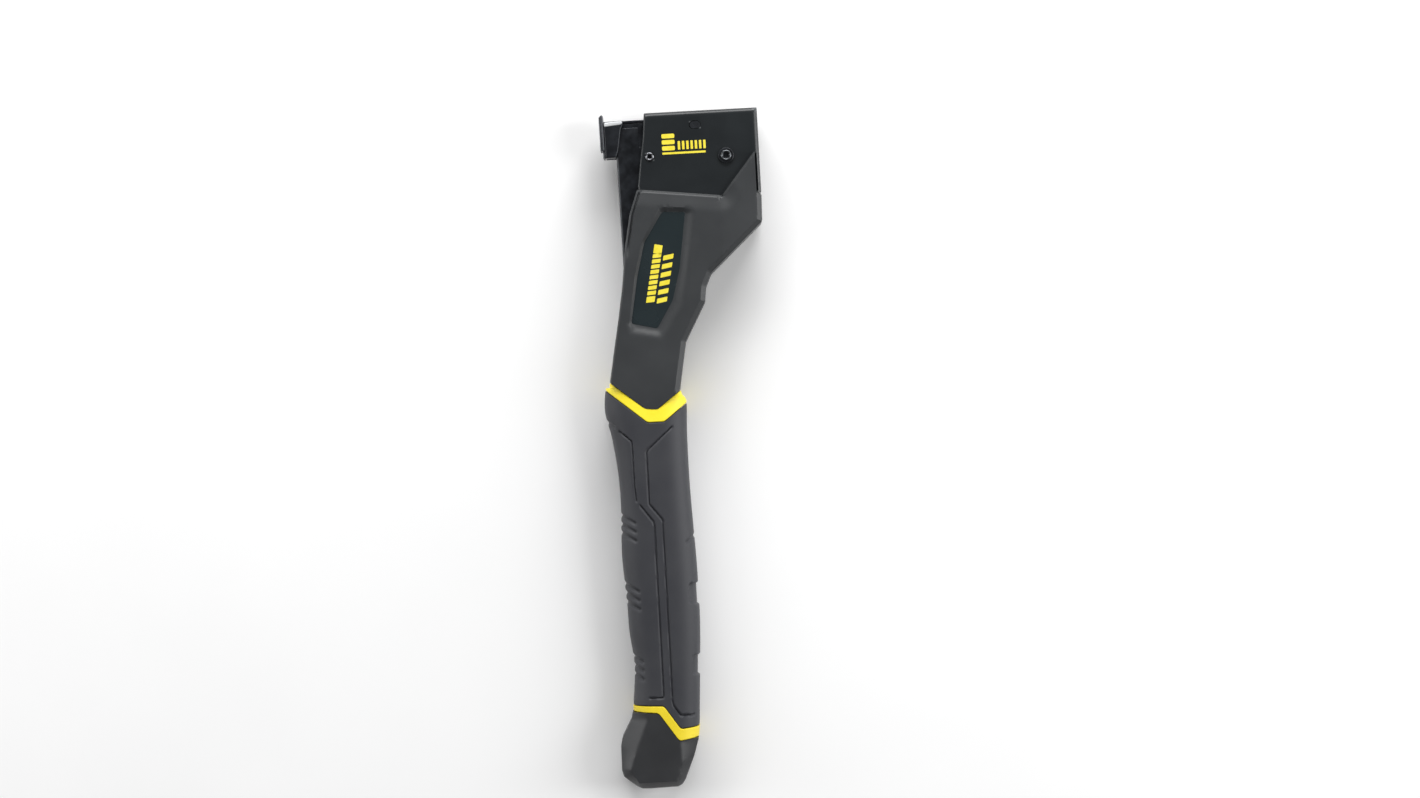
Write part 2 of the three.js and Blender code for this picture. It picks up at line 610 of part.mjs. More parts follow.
function nosePieces() {
  const cheeks = slab(
    [
      [CHEEK_U, fromTop(22.9)], [WEB_U, fromTop(22.9)], [WEB_U + 1.4, fromTop(19)],
      [WEB_U + 3.4, fromTop(7.6)], [WEB_U + 4.7, fromTop(5)], [WEB_U + 4.7, FRONT_V + 1.4],
      [CHEEK_U, FRONT_V + 1.4],
    ],
    -CHEEK_OUT, CHEEK_OUT, 0.5,
  );
  const between = box([-FAR, 0, -CHEEK_IN], [FAR, FRONT_V, CHEEK_IN]);
  const guide = box([-1.4, FRONT_V, -CHEEK_IN + 0.6], [11.2, FRONT_V + 1.4, CHEEK_IN - 0.6]);
  add(magazine, 'nose_block', join(cut(cheeks, between), guide), DARK_STEEL);

  const screwBar = (r, v, u0, u1, sides = 16) => {
    const geometry = new THREE.CylinderGeometry(r, r, u1 - u0, sides);
    geometry.rotateZ(Math.PI / 2);
    geometry.translate((u0 + u1) / 2, v, 0);
    return solid(geometry);
  };
  const headSink = 1.4;
  const sink = (v, gap) => {
    const profile = [[0, 0], [2.6 + gap, 0], [1.3 + gap, headSink], [0, headSink]];
    const geometry = new THREE.LatheGeometry(profile.map(([r, z]) => new THREE.Vector2(r, z)), 18);
    geometry.rotateZ(-Math.PI / 2);
    geometry.translate(SHOE_U + 0.1 - gap, v, 0);
    return solid(geometry);
  };
  const holes = NOSE_SCREWS_V.flatMap((v) => (
    [sink(v, GAP), screwBar(1.3 + GAP, v, SHOE_U - 1, WEB_U - 1.2)]
  ));

  const inner = CHANNEL_OUT;
  const block = box([CHEEK_U, fromTop(22.6), -inner], [WEB_U - GAP, SLOT_V, inner]);
  add(magazine, 'nose_guide', cut(block, ...holes), STEEL);

  const shoe = join(
    slab(
      [[SHOE_U, fromTop(18.8)], [SHOE_U + SHOE, fromTop(18.8)], [SHOE_U + SHOE, REACH + 0.4],
        [SHOE_U + 1.2, REACH + 0.4], [SHOE_U, REACH - 0.8]],
      -CHEEK_OUT, CHEEK_OUT, 0.4,
    ),
    box([SHOE_U + SHOE - 0.9, fromTop(22.9), -CHEEK_OUT + 1], [SHOE_U + SHOE, fromTop(18), CHEEK_OUT - 1]),
  );
  const exit = box(
    [SHOE_U - 1, SLOT_V + 0.1, -CHANNEL_IN - 0.3],
    [SHOE_U + SHOE + 1, FRONT_V, CHANNEL_IN + 0.3],
  );
  add(magazine, 'nose_shoe', cut(shoe, exit, ...holes), STEEL);

  NOSE_SCREWS_V.forEach((v, i) => {
    const screw = join(sink(v, 0), screwBar(1.3, v, SHOE_U + 1, WEB_U - 1.5));
    add(magazine, `nose_screw_${i + 1}`, screw, BRIGHT);
  });
}

// ---------------------------------------------------------------- staple rail and follower

const RAIL_END = -6;
const TAIL_R = 1.5;
const ROLLER_V = fromTop(18);
const FOLLOWER = 13;

function railPieces() {
  const foot = WEB_U + CHANNEL_WEB + GAP;
  const tip = SLOT_V - 0.2;
  const outer = box([foot, RAIL_END, -RAIL_OUT], [RAIL_TOP, tip, RAIL_OUT]);
  const inner = box(
    [foot - 1, RAIL_END - 1, RAIL_WALL - RAIL_OUT],
    [RAIL_TOP - RAIL_WALL, tip + 1, RAIL_OUT - RAIL_WALL],
  );
  const pinHole = bar(TAIL_R + GAP, 0, 0, -FAR, FAR, 16);
  const rollerHole = bar(1 + GAP, 0, ROLLER_V, -FAR, FAR, 16);
  add(magazine, 'staple_rail', cut(outer, inner, pinHole, rollerHole), STEEL);
  add(magazine, 'tail_pin', bar(TAIL_R, 0, 0, -RAIL_OUT, RAIL_OUT, 16), BRIGHT);
  const roller = bar(2.6, 0, ROLLER_V, -RAIL_OUT + RAIL_WALL + GAP, RAIL_OUT - RAIL_WALL - GAP, 18);
  add(magazine, 'rail_roller', cut(roller, rollerHole), BRIGHT);
  add(magazine, 'roller_pin', bar(1, 0, ROLLER_V, -RAIL_OUT, RAIL_OUT, 16), BRIGHT);

  const spring = new THREE.CylinderGeometry(1.9, 1.9, ROLLER_V - 30, 8);
  spring.translate(0.2, (ROLLER_V + 30) / 2 - 5, 0);
  add(magazine, 'follower_spring', solid(spring), BRIGHT);

  const width = CHANNEL_IN - GAP;
  const saddle = box([foot, tip - 0.3 - FOLLOWER, -width], [PUSHER_TOP, tip - 0.3, width]);
  const over = box([foot - 1, 0, -RAIL_OUT - GAP], [RAIL_TOP + GAP, REACH, RAIL_OUT + GAP]);
  add(magazine, 'follower', cut(saddle, over), DARK_STEEL);
}

// ---------------------------------------------------------------- butt cap

const capOutline = [
  [-21.6, along(22)], [-23, along(8)], [-28.6, -2], [-29.4, -6], [-29.6, -19], [-28.6, -22.6], [-22, -28],
  [-19, -29.5], [-14, -29.7], [0.5, -29.4], [3, -28], [4.6, -25.6], [10, -13], [12.8, -4],
  [14.5, along(8)],
];
const capFacet = [
  [-17, along(22)], [-14, along(8)], [-25, -19], [-20.5, -26.3], [0.4, -26.3], [3.6, -15], [3, -5],
  [6.5, along(8)],
];
const EDGE_HALF = BODY_HALF - 5; // the cap's facets fall away to this at its rim

// A faceted block: the outline at a lesser thickness, the facet's corners at full thickness.
function facetedBlock(outline, facet, edge, face) {
  const corners = [[outline, edge], [facet, face]].flatMap(([points, z]) => points.flatMap(
    ([x, y]) => [new THREE.Vector3(x, y, z), new THREE.Vector3(x, y, -z)],
  ));
  return within(solid(new ConvexGeometry(corners)), slab([...outline].reverse(), -FAR, FAR));
}

function buttCap() {
  const below = stripBetween([[-FAR, -FAR], [FAR, -FAR]], bandFoot);
  const outer = facetedBlock(capOutline, capFacet, EDGE_HALF, BODY_HALF);
  const room = facetedBlock(
    offset(capOutline, -CAP_WALL), offset(capFacet, -CAP_WALL / 2), EDGE_HALF - 2.2, BODY_HALF - CAP_WALL,
  );
  add(tool, 'butt_cap', cut(within(outer, below), room, capScrewHole()), CAP);
}

const CAP_FLOOR = -29.7 + CAP_WALL;
const CAP_SCREW_X = PIVOT_X + 0.3;

// A round bar along Y, on the axis of the cap's screw.
function capBar(r, y0, y1, sides = 16) {
  const geometry = new THREE.CylinderGeometry(r, r, y1 - y0, sides);
  geometry.translate(CAP_SCREW_X, (y0 + y1) / 2, 0);
  return solid(geometry);
}

const capScrewHole = () => join(
  capBar(1.4 + GAP, -FAR, CAP_FLOOR + 5),
  capBar(2.6 + GAP, -FAR, CAP_FLOOR - 1),
);

function capInside() {
  const tongueHalf = RAIL_OUT - RAIL_WALL - GAP;
  const base = box([PIVOT_X - 7, CAP_FLOOR + GAP, -6], [PIVOT_X + 5, CAP_FLOOR + 5, 6]);
  const tongue = box([PIVOT_X - 3, CAP_FLOOR + 4, -tongueHalf], [PIVOT_X + 3, 3, tongueHalf]);
  const pinHole = bar(TAIL_R + GAP, PIVOT_X, 0, -FAR, FAR, 16);
  add(tool, 'cap_core', cut(join(base, tongue), capScrewHole(), pinHole), BLACK_RUBBER);
  const shank = capBar(1.4, CAP_FLOOR - 1.5, CAP_FLOOR + 4);
  const head = capBar(2.6, CAP_FLOOR - 2.1, CAP_FLOOR - 1.3);
  add(tool, 'cap_screw', join(shank, head), BRIGHT);

  const spigotHalf = GRIP_HALF - SPIGOT_INSET;
  for (const [side, name] of [[1, 'cap_latch_left'], [-1, 'cap_latch_right']]) {
    const leaf = ([y0, z0], [y1, z1]) => {
      const ends = [z0 * side, z1 * side].sort((a, b) => a - b);
      return box([PIVOT_X - 4, y0, ends[0]], [PIVOT_X + 4, y1, ends[1]]);
    };
    const [footY, footZ] = [CAP_FLOOR + 5 + GAP, RAIL_OUT - RAIL_WALL];
    const foot = leaf([footY, footZ], [footY + 0.7, spigotHalf + 1.9]);
    const upright = leaf([footY, spigotHalf + 1.2], [-1, spigotHalf + 1.9]);
    const bump = leaf([-8, spigotHalf + GAP], [-4, spigotHalf + 1.3]);
    add(tool, name, join(foot, upright, bump), STEEL);
  }
}

headFrame();
stopRivets();
clampBolt();
driverPieces();
returnSpring();
strikeBumper();
bodyShells();
shellScrews();
labelPanels();
gripPieces();
pivotPieces();
magazineChannel();
nosePieces();
railPieces();
buttCap();
capInside();

// the origin is the middle of the face that the tool lies on
const bounds = new THREE.Box3().setFromObject(tool);
const middle = bounds.getCenter(new THREE.Vector3());
const placedTool = new THREE.Group();
tool.position.set(-middle.x, -middle.y, -bounds.min.z);
placedTool.add(tool);

export default placedTool;
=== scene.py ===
"""Looks of a hammer tacker: a staple gun that is swung like a hammer.

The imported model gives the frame, and this script builds the fine surface around it. Sizes are in
millimetres in the tool's own plan, in which Y runs from the butt cap to the head, the struck side
faces -X, Z is the thickness, and the magazine pivot is at (PIVOT_X, 0, 0). `placed` turns them
into the frame's metres.
"""

import logging
import math
from collections.abc import Callable, Sequence
from dataclasses import dataclass, field
from enum import Enum

import bmesh
import bpy
import numpy as np
from mathutils import Matrix, Vector
from mathutils.geometry import delaunay_2d_cdt


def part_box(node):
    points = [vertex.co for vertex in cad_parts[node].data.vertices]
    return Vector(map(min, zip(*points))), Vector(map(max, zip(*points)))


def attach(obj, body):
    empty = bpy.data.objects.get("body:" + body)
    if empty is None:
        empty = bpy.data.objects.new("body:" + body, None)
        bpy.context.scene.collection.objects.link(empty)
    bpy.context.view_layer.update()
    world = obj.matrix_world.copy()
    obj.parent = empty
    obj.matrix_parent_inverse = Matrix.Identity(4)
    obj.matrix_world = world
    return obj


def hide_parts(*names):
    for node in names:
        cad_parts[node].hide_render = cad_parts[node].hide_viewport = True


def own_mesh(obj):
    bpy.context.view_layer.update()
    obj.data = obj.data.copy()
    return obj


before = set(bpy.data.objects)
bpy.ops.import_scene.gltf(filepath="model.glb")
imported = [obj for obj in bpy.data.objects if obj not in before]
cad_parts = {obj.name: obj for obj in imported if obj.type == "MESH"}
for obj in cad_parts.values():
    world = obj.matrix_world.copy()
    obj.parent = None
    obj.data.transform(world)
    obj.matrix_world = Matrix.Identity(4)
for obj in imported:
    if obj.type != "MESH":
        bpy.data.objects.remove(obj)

Array = np.ndarray
Points = Sequence[tuple[float, float]]
# A mesh before it is made: its vertices in millimetres of the plan, and its faces.
Shape = tuple[Array, Array]

LOG = logging.getLogger("tacker")
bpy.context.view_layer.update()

MM = 0.001
PIVOT_X = -6.0
# The plan's zero point in the frame, in millimetres. The tail pin lies on the pivot's axis.
ORIGIN = np.array(sum(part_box("tail_pin"), Vector()) / 2) / MM - np.array([PIVOT_X, 0.0, 0.0])
# The magazine's lean in degrees at rest, and once it has been driven into the head.
REST_LEAN = 0.516
STRUCK_LEAN = -2.997
# Points of a mesh that are nearer than this, in millimetres, are one point.
MERGE = 0.004
# Points that distance and inside take at a time, so that their tables stay small.
BLOCK = 4000


class Body(Enum):
    """The moving bodies of the frame."""

    TOOL = "body"
    MAGAZINE = "magazine"
    CAP = "cap"
    RAIL = "rail"
    FOLLOWER = "follower"


class Side(Enum):
    """The two halves of the tool, by the way that their outer face points along Z."""

    LEFT = 1
    RIGHT = -1

    @property
    def label(self) -> str:
        """The side's name as the frame writes it."""
        return self.name.lower()

    def of(self, shape: Shape) -> Shape:
        """A shape of the left side on this side."""
        return shape if self is Side.LEFT else mirrored(*shape)


# ---------------------------------------------------------------- places and sizes


def placed(points: Array) -> Array:
    """Points of the tool's plan, in millimetres, as metres of the frame."""
    return (points + ORIGIN) * MM


def extent(node: str) -> tuple[Array, Array]:
    """The lowest and highest corner of a CAD node, in millimetres of the tool's plan."""
    low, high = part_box(node)
    return np.array(low) / MM - ORIGIN, np.array(high) / MM - ORIGIN


def leaning(degrees: float, u: Array, v: Array) -> tuple[Array, Array]:
    """A point of a part that turns about the pivot, in the tool's plan.

    Args:
        degrees: the part's turn, anticlockwise.
        u: distance across the part from the pivot.
        v: distance along the part from the pivot.

    Returns:
        X and Y: the pivot plus (u, v) turned by the angle.
    """
    angle = math.radians(degrees)
    return (
        PIVOT_X + u * math.cos(angle) - v * math.sin(angle),
        u * math.sin(angle) + v * math.cos(angle),
    )


# ---------------------------------------------------------------- lines in the plan


def rounded(corners: Points, radius: float, steps: int = 5) -> Array:
    """A closed outline whose corners are turned into short curves.

    Each corner P gives way to the curve (1-t)^2 A + 2t(1-t) P + t^2 B, in which A and B lie on the
    edges beside it, a radius away or half of the edge if that is less.

    Args:
        corners: the outline's corners in order.
        radius: how far from the corner the curve starts, in millimetres.
        steps: points on each curve.

    Returns:
        The points of the rounded outline.
    """
    corner = np.array(corners, float)
    curves = []
    for other in (np.roll(corner, 1, axis=0), np.roll(corner, -1, axis=0)):
        edge = other - corner
        length = np.linalg.norm(edge, axis=1, keepdims=True)
        curves.append(corner + edge / length * np.minimum(radius, length * 0.45))
    t = np.linspace(0, 1, steps)[None, :, None]
    before, after = (side[:, None, :] for side in curves)
    curve = (1 - t) ** 2 * before + 2 * t * (1 - t) * corner[:, None, :] + t**2 * after
    return curve.reshape(-1, 2)


def stepped(line: Array, step: float, closed: bool = True) -> Array:
    """The same line with more points: each edge is divided evenly.

    Args:
        line: the line's points.
        step: the greatest length of a part.
        closed: whether the last point joins the first.

    Returns:
        The old points and the new ones between them, in order.
    """
    ends = np.roll(line, -1, axis=0) if closed else line[1:]
    starts = line if closed else line[:-1]
    edge = ends - starts
    parts = np.maximum(np.ceil(np.linalg.norm(edge, axis=1) / step).astype(int), 1)
    first = np.repeat(np.cumsum(parts) - parts, parts)
    share = (np.arange(parts.sum()) - first) / np.repeat(parts, parts)
    points = np.repeat(starts, parts, axis=0) + share[:, None] * np.repeat(edge, parts, axis=0)
    return points if closed else np.vstack([points, line[-1]])


def distance(points: Array, line: Array, closed: bool = False) -> Array:
    """How far each point is from a line: the least of its distances to the line's edges.

    The foot on an edge from A to B is A + s (B - A), with s kept between 0 and 1.

    Args:
        points: where the distance is wanted.
        line: the line's points.
        closed: whether the last point joins the first.

    Returns:
        One distance for each point.
    """
    starts = line if closed else line[:-1]
    ends = np.roll(line, -1, axis=0) if closed else line[1:]
    edge = ends - starts
    long = np.maximum((edge**2).sum(axis=1), 1e-12)
    found = []
    for block in np.array_split(points, max(1, len(points) // BLOCK)):
        away = block[:, None, :] - starts[None]
        s = np.clip((away * edge).sum(axis=2) / long, 0, 1)
        found.append(np.linalg.norm(away - s[..., None] * edge, axis=2).min(axis=1))
    return np.concatenate(found)


def inside(points: Array, loop: Array) -> Array:
    """Whether each point is inside a loop: a ray along X crosses the loop an odd number of times.

    Args:
        points: the points to be tested.
        loop: the closed loop's points.

    Returns:
        True or False for each point.
    """
    (x0, y0), (x1, y1) = loop.T, np.roll(loop, -1, axis=0).T
    rise = np.where(y1 == y0, 1e-12, y1 - y0)
    found = []
    for block in np.array_split(points, max(1, len(points) // BLOCK)):
        x, y = block[:, :1], block[:, 1:]
        spans = (y0 > y) != (y1 > y)
        found.append((spans & (x < x0 + (y - y0) * (x1 - x0) / rise)).sum(axis=1) % 2 == 1)
    return np.concatenate(found)


def grown(loop: Array, by: float) -> Array:
    """A loop whose points are moved outwards along its own normals.

    The normal at a point is square to the mean of its two edges' directions.

    Args:
        loop: the closed loop's points.
        by: how far they move; a negative value moves them inwards.

    Returns:
        The moved points.
    """
    ahead = np.roll(loop, -1, axis=0) - loop
    ahead /= np.maximum(np.linalg.norm(ahead, axis=1, keepdims=True), 1e-9)
    along = ahead + np.roll(ahead, 1, axis=0)
    along /= np.maximum(np.linalg.norm(along, axis=1, keepdims=True), 1e-9)
    x, y = loop.T
    area = (x * np.roll(y, -1) - np.roll(x, -1) * y).sum()
    return loop + np.sign(area) * by * np.stack([along[:, 1], -along[:, 0]], axis=1)


def circle(centre: tuple[float, float], radius: float, count: int = 40) -> Array:
    """Points evenly round a circle, anticlockwise."""
    turn = np.linspace(0, 2 * math.pi, count, endpoint=False)
    return np.array(centre) + radius * np.stack([np.cos(turn), np.sin(turn)], axis=1)


def oval(centre: tuple[float, float], length: float, height: float, count: int = 40) -> Array:
    """A slot with round ends: a circle whose right and left halves are moved apart.

    Args:
        centre: the slot's middle.
        length: its whole length, along X.
        height: its width, which is also the ends' diameter.
        count: points round it.

    Returns:
        The points, anticlockwise.
    """
    ring = circle((0.0, 0.0), height / 2, count)
    ring[:, 0] += np.sign(ring[:, 0]) * (length - height) / 2
    return ring + np.array(centre)


def eased(t: Array) -> Array:
    """A step from 0 to 1 that starts and ends level: 3t^2 - 2t^3."""
    t = np.clip(t, 0, 1)
    return t * t * (3 - 2 * t)


def faded(place: Array, start: float, run: float) -> Array:
    """A slope's strength along a line: 0 up to the start, and 1 from a run further on."""
    return eased((place - start) / run)


def chamfer(away: Array, width: float, depth: float) -> Array:
    """How far a face drops beside an edge: a straight slope whose top and foot are a little rounded."""
    t = np.clip(away / width, 0, 1)
    return depth * (1 - 0.7 * t - 0.3 * eased(t))


def shoulder(away: Array, radius: float, depth: float) -> Array:
    """How far a face drops beside an edge as a quarter of an ellipse."""
    t = 1 - np.clip(away / radius, 0, 1)
    return depth * (1 - np.sqrt(1 - t * t))


# ---------------------------------------------------------------- meshes


@dataclass
class Plan:
    """A flat area cut into triangles, so that a height over it makes a surface.

    The pitch is the filling's spacing and the step the outline's. The rings are the insets of the
    rows of points beside the outline, and a triangle whose area is under the least is left out.
    """

    outline: Array
    holes: Sequence[Array] = ()
    lines: Sequence[Array] = ()
    rings: Sequence[float] = ()
    pitch: float = 1.6
    step: float = 1.2
    least: float = 1e-3
    points: Array = field(init=False)
    triangles: Array = field(init=False)

    def __post_init__(self) -> None:
        """Fills the outline with points and joins them.

        Rows of points follow the outline at each inset in rings, and a triangular grid fills the
        rest. The lines are kept as edges, and what is outside the outline or in a hole is left out.
        """
        loops = [stepped(self.outline, self.step), *self.holes, *self.lines]
        rows = [grown(loops[0], -inset) for inset in self.rings]
        kept = [row[distance(row, loops[0], True) > 0.95 * inset] for row, inset in zip(rows, self.rings)]
        filling = self._grid(loops)
        fixed = np.vstack(loops)
        starts = np.cumsum([0] + [len(loop) for loop in loops])
        edges = [
            np.stack([np.arange(a, b), np.r_[np.arange(a + 1, b), a]], axis=1)
            for a, b in zip(starts[:-1], starts[1:])
        ]
        every = np.vstack([fixed, *kept, filling])
        found = delaunay_2d_cdt(every.tolist(), np.vstack(edges).tolist(), [], 0, 1e-5)
        points = np.array(found[0], float)
        triangles = np.array(found[2], int)
        middle = points[triangles].mean(axis=1)
        ahead, across = (points[triangles[:, side]] - points[triangles[:, 0]] for side in (1, 2))
        area = (ahead[:, 0] * across[:, 1] - ahead[:, 1] * across[:, 0]) / 2
        shown = inside(middle, loops[0]) & (area > self.least)
        for hole in self.holes:
            shown &= ~inside(middle, hole)
        used, numbered = np.unique(triangles[shown], return_inverse=True)
        self.points = points[used]
        self.triangles = numbered.reshape(-1, 3)

    def _grid(self, loops: Sequence[Array]) -> Array:
        """A triangular grid of points over the outline, clear of every line.

        Args:
            loops: the outline, followed by the holes and the lines.

        Returns:
            The grid's points.
        """
        low, high = self.outline.min(axis=0), self.outline.max(axis=0)
        x, y = np.meshgrid(
            np.arange(low[0], high[0], self.pitch), np.arange(low[1], high[1], self.pitch * 0.866)
        )
        x[1::2] += self.pitch / 2
        grid = np.stack([x.ravel(), y.ravel()], axis=1)
        grid = grid[inside(grid, loops[0])]
        clear = distance(grid, loops[0], True) > max([0.0, *self.rings]) + 0.4 * self.pitch
        for loop in loops[1:]:
            clear &= distance(grid, loop, True) > 0.4 * self.pitch
        return grid[clear]

    def rim(self) -> Array:
        """The edges that bound the area, each as its two points, with the area on their left.

        They are the triangles' edges that no other triangle runs along the other way.

        Returns:
            Pairs of places in the list of points.
        """
        edges = np.vstack([self.triangles[:, [0, 1]], self.triangles[:, [1, 2]], self.triangles[:, [2, 0]]])
        count = len(self.points)
        forward, backward = edges @ [count, 1], edges @ [1, count]
        return edges[~np.isin(forward, backward)]

    def solid(self, top: Array, foot: Array, open_at: Callable[[Array], Array] | None = None) -> Shape:
        """The body between two heights over the area.

        Args:
            top: the upper height at each point.
            foot: the lower height at each point.
            open_at: tells from the middles of the rim's edges where no wall is built.

        Returns:
            The vertices and the triangles of the top, the foot and the walls between them.
        """
        count = len(self.points)
        vertices = np.vstack([np.c_[self.points, top], np.c_[self.points, foot]])
        rim = self.rim()
        if open_at is not None:
            rim = rim[~open_at(self.points[rim].mean(axis=1))]
        start, end = rim.T
        walls = np.vstack(
            [np.c_[start, start + count, end + count], np.c_[start, end + count, end]]
        )
        return vertices, np.vstack([self.triangles, self.triangles[:, ::-1] + count, walls])


def joined(*parts: Shape) -> Shape:
    """Several bodies as one.

    Args:
        parts: the bodies' vertices and faces.

    Returns:
        All of the vertices, and the faces counted on from body to body.
    """
    sizes = np.cumsum([0] + [len(vertices) for vertices, _ in parts])
    faces = [faces + size for (_, faces), size in zip(parts, sizes)]
    return np.vstack([vertices for vertices, _ in parts]), np.vstack(faces)


def mirrored(vertices: Array, faces: Array) -> Shape:
    """The same body on the other side of the mid-plane, with its faces turned outwards again."""
    return vertices * [1, 1, -1], faces[:, ::-1]


def quads(rows: int, columns: int, close_rows: bool, close_columns: bool) -> Array:
    """The four-cornered faces of a grid of points, row after row.

    Args:
        rows: rows of points.
        columns: points in a row.
        close_rows: whether the last row joins the first.
        close_columns: whether each row is a ring.

    Returns:
        The corners of each face, as places in the list of points.
    """
    i = np.arange(rows if close_rows else rows - 1)[:, None]
    j = np.arange(columns if close_columns else columns - 1)[None]
    i1, j1 = (i + 1) % rows, (j + 1) % columns
    corners = [i * columns + j, i * columns + j1, i1 * columns + j1, i1 * columns + j]
    return np.stack([np.broadcast_to(c, (i.size, j.size)) for c in corners], axis=-1).reshape(-1, 4)


def turned(profile: Points, count: int = 64, closed: bool = False) -> Shape:
    """A body turned about the Z axis from a profile of radius and height.

    Args:
        profile: radius and height of each point, the outside from its foot up.
        count: points round the axis.
        closed: whether the last point joins the first, for a ring; else both ends are on the axis.

    Returns:
        The vertices, at radius r and turn a as (r cos a, r sin a, z), and the faces.
    """
    r, z = np.array(profile, float).T
    a = np.linspace(0, 2 * math.pi, count, endpoint=False)[None]
    ring = [r[:, None] * np.cos(a), r[:, None] * np.sin(a), np.broadcast_to(z[:, None], (len(r), count))]
    return np.stack(ring, axis=-1).reshape(-1, 3), quads(len(r), count, closed, True)


def tube(path: Array, radius: float, count: int = 8) -> Shape:
    """A round wire along a path.

    Each ring is the path's point plus the radius times (n cos a + b sin a), in which n and b are
    square to the path. The ends are closed by rings that shrink to their middle.

    Args:
        path: the points of the wire's middle line.
        radius: half of the wire's thickness.
        count: points round the wire.

    Returns:
        The vertices and faces of the wire.
    """
    ahead = np.gradient(path, axis=0)
    ahead /= np.linalg.norm(ahead, axis=1, keepdims=True)
    sideways = np.cross(ahead, [0.02, 0.03, 1.0] if np.ptp(path[:, 2]) < 1e-6 else [1.0, 0.013, 0.017])
    sideways /= np.linalg.norm(sideways, axis=1, keepdims=True)
    upward = np.cross(ahead, sideways)
    a = np.linspace(0, 2 * math.pi, count, endpoint=False)
    ring = np.cos(a)[None, :, None] * sideways[:, None] + np.sin(a)[None, :, None] * upward[:, None]
    rings = path[:, None] + radius * ring
    capped = np.concatenate([path[:1, None].repeat(count, 1), rings, path[-1:, None].repeat(count, 1)])
    return capped.reshape(-1, 3), quads(len(capped), count, False, True)


class Smoothing(Enum):
    """The angle between faces, in degrees, above which an edge stays sharp."""

    SOFT = 50.0
    CRISP = 28.0


def linked(name: str, data: bpy.types.ID) -> bpy.types.Object:
    """A new object in the scene.

    Args:
        name: the object's name.
        data: its mesh, light or camera.

    Returns:
        The object, at the origin.
    """
    made = bpy.data.objects.new(name, data)
    bpy.context.scene.collection.objects.link(made)
    return made


def meshed(name: str, shape: Shape) -> bpy.types.Object:
    """An object of a shape, with its doubles merged.

    On a closed shape the faces are then all turned outwards. An open skin is left as it was made.

    Args:
        name: the object's name.
        shape: vertices in the tool's plan and faces.

    Returns:
        The new object.
    """
    vertices, faces = shape
    mesh = bpy.data.meshes.new(name)
    mesh.from_pydata(placed(vertices).tolist(), [], faces.tolist())
    merged = bmesh.new()
    merged.from_mesh(mesh)
    bmesh.ops.remove_doubles(merged, verts=merged.verts, dist=MERGE * MM)
    if not any(edge.is_boundary for edge in merged.edges):
        bmesh.ops.recalc_face_normals(merged, faces=merged.faces)
    merged.to_mesh(mesh)
    merged.free()
    return linked(name, mesh)


def piece(
    name: str,
    shape: Shape,
    finish: "Finish",
    body: Body,
    replaces: Sequence[str] = (),
    smoothing: Smoothing = Smoothing.CRISP,
) -> bpy.types.Object:
    """Makes a mesh object of a shape, dresses it and puts it on its body.

    Args:
        name: the piece's name.
        shape: vertices in the tool's plan and faces.
        finish: what it is made of.
        body: the frame's body that it moves with.
        replaces: the CAD nodes that it stands for.
        smoothing: which edges stay sharp.

    Returns:
        The new object.
    """
    made = meshed(name, shape)
    soften(made, smoothing)
    dress(made, finish)
    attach(made, body.value)
    if replaces:
        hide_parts(*replaces)
    LOG.info("%s: %d faces on %s", name, len(made.data.polygons), body.value)
    return made


def soften(made: bpy.types.Object, smoothing: Smoothing) -> None:
    """Shades a piece smooth, but for its sharp edges."""
    made.data.shade_smooth()
    made.data.set_sharp_from_angle(angle=math.radians(smoothing.value))


def dress(made: bpy.types.Object, finish: "Finish") -> None:
    """Gives a piece its finish, in a slot of its mesh."""
    made.data.materials.clear()
    made.data.materials.append(finish.material())


def apply_modifiers(made: bpy.types.Object) -> None:
    """Turns a piece's modifiers into its mesh.

    Args:
        made: the piece, which keeps its place and its finish.
    """
    bpy.context.view_layer.update()
    evaluated = made.evaluated_get(bpy.context.evaluated_depsgraph_get())
    mesh = bpy.data.meshes.new_from_object(evaluated)
    made.modifiers.clear()
    old, made.data = made.data, mesh
    bpy.data.meshes.remove(old)


def thicken(made: bpy.types.Object, wall: float) -> None:
    """Gives an open skin a wall on its inner side.

    Args:
        made: the piece, whose mesh is a skin.
        wall: the wall's thickness in millimetres.
    """
    solidify = made.modifiers.new("wall", "SOLIDIFY")
    solidify.thickness = wall * MM
    solidify.offset = -1
    apply_modifiers(made)
    soften(made, Smoothing.CRISP)


def break_edges(made: bpy.types.Object, width: float, angle: float = 35.0, segments: int = 2) -> None:
    """Rounds a piece's sharp edges and keeps its flats flat.

    Args:
        made: the piece.
        width: how far the edges are rounded, in millimetres.
        angle: the least angle, in degrees, of an edge that is rounded.
        segments: faces across a rounded edge.
    """
    bevel = made.modifiers.new("edges", "BEVEL")
    bevel.width = width * MM
    bevel.segments = segments
    bevel.limit_method = "ANGLE"
    bevel.angle_limit = math.radians(angle)
    level = made.modifiers.new("flats", "WEIGHTED_NORMAL")
    level.keep_sharp = True


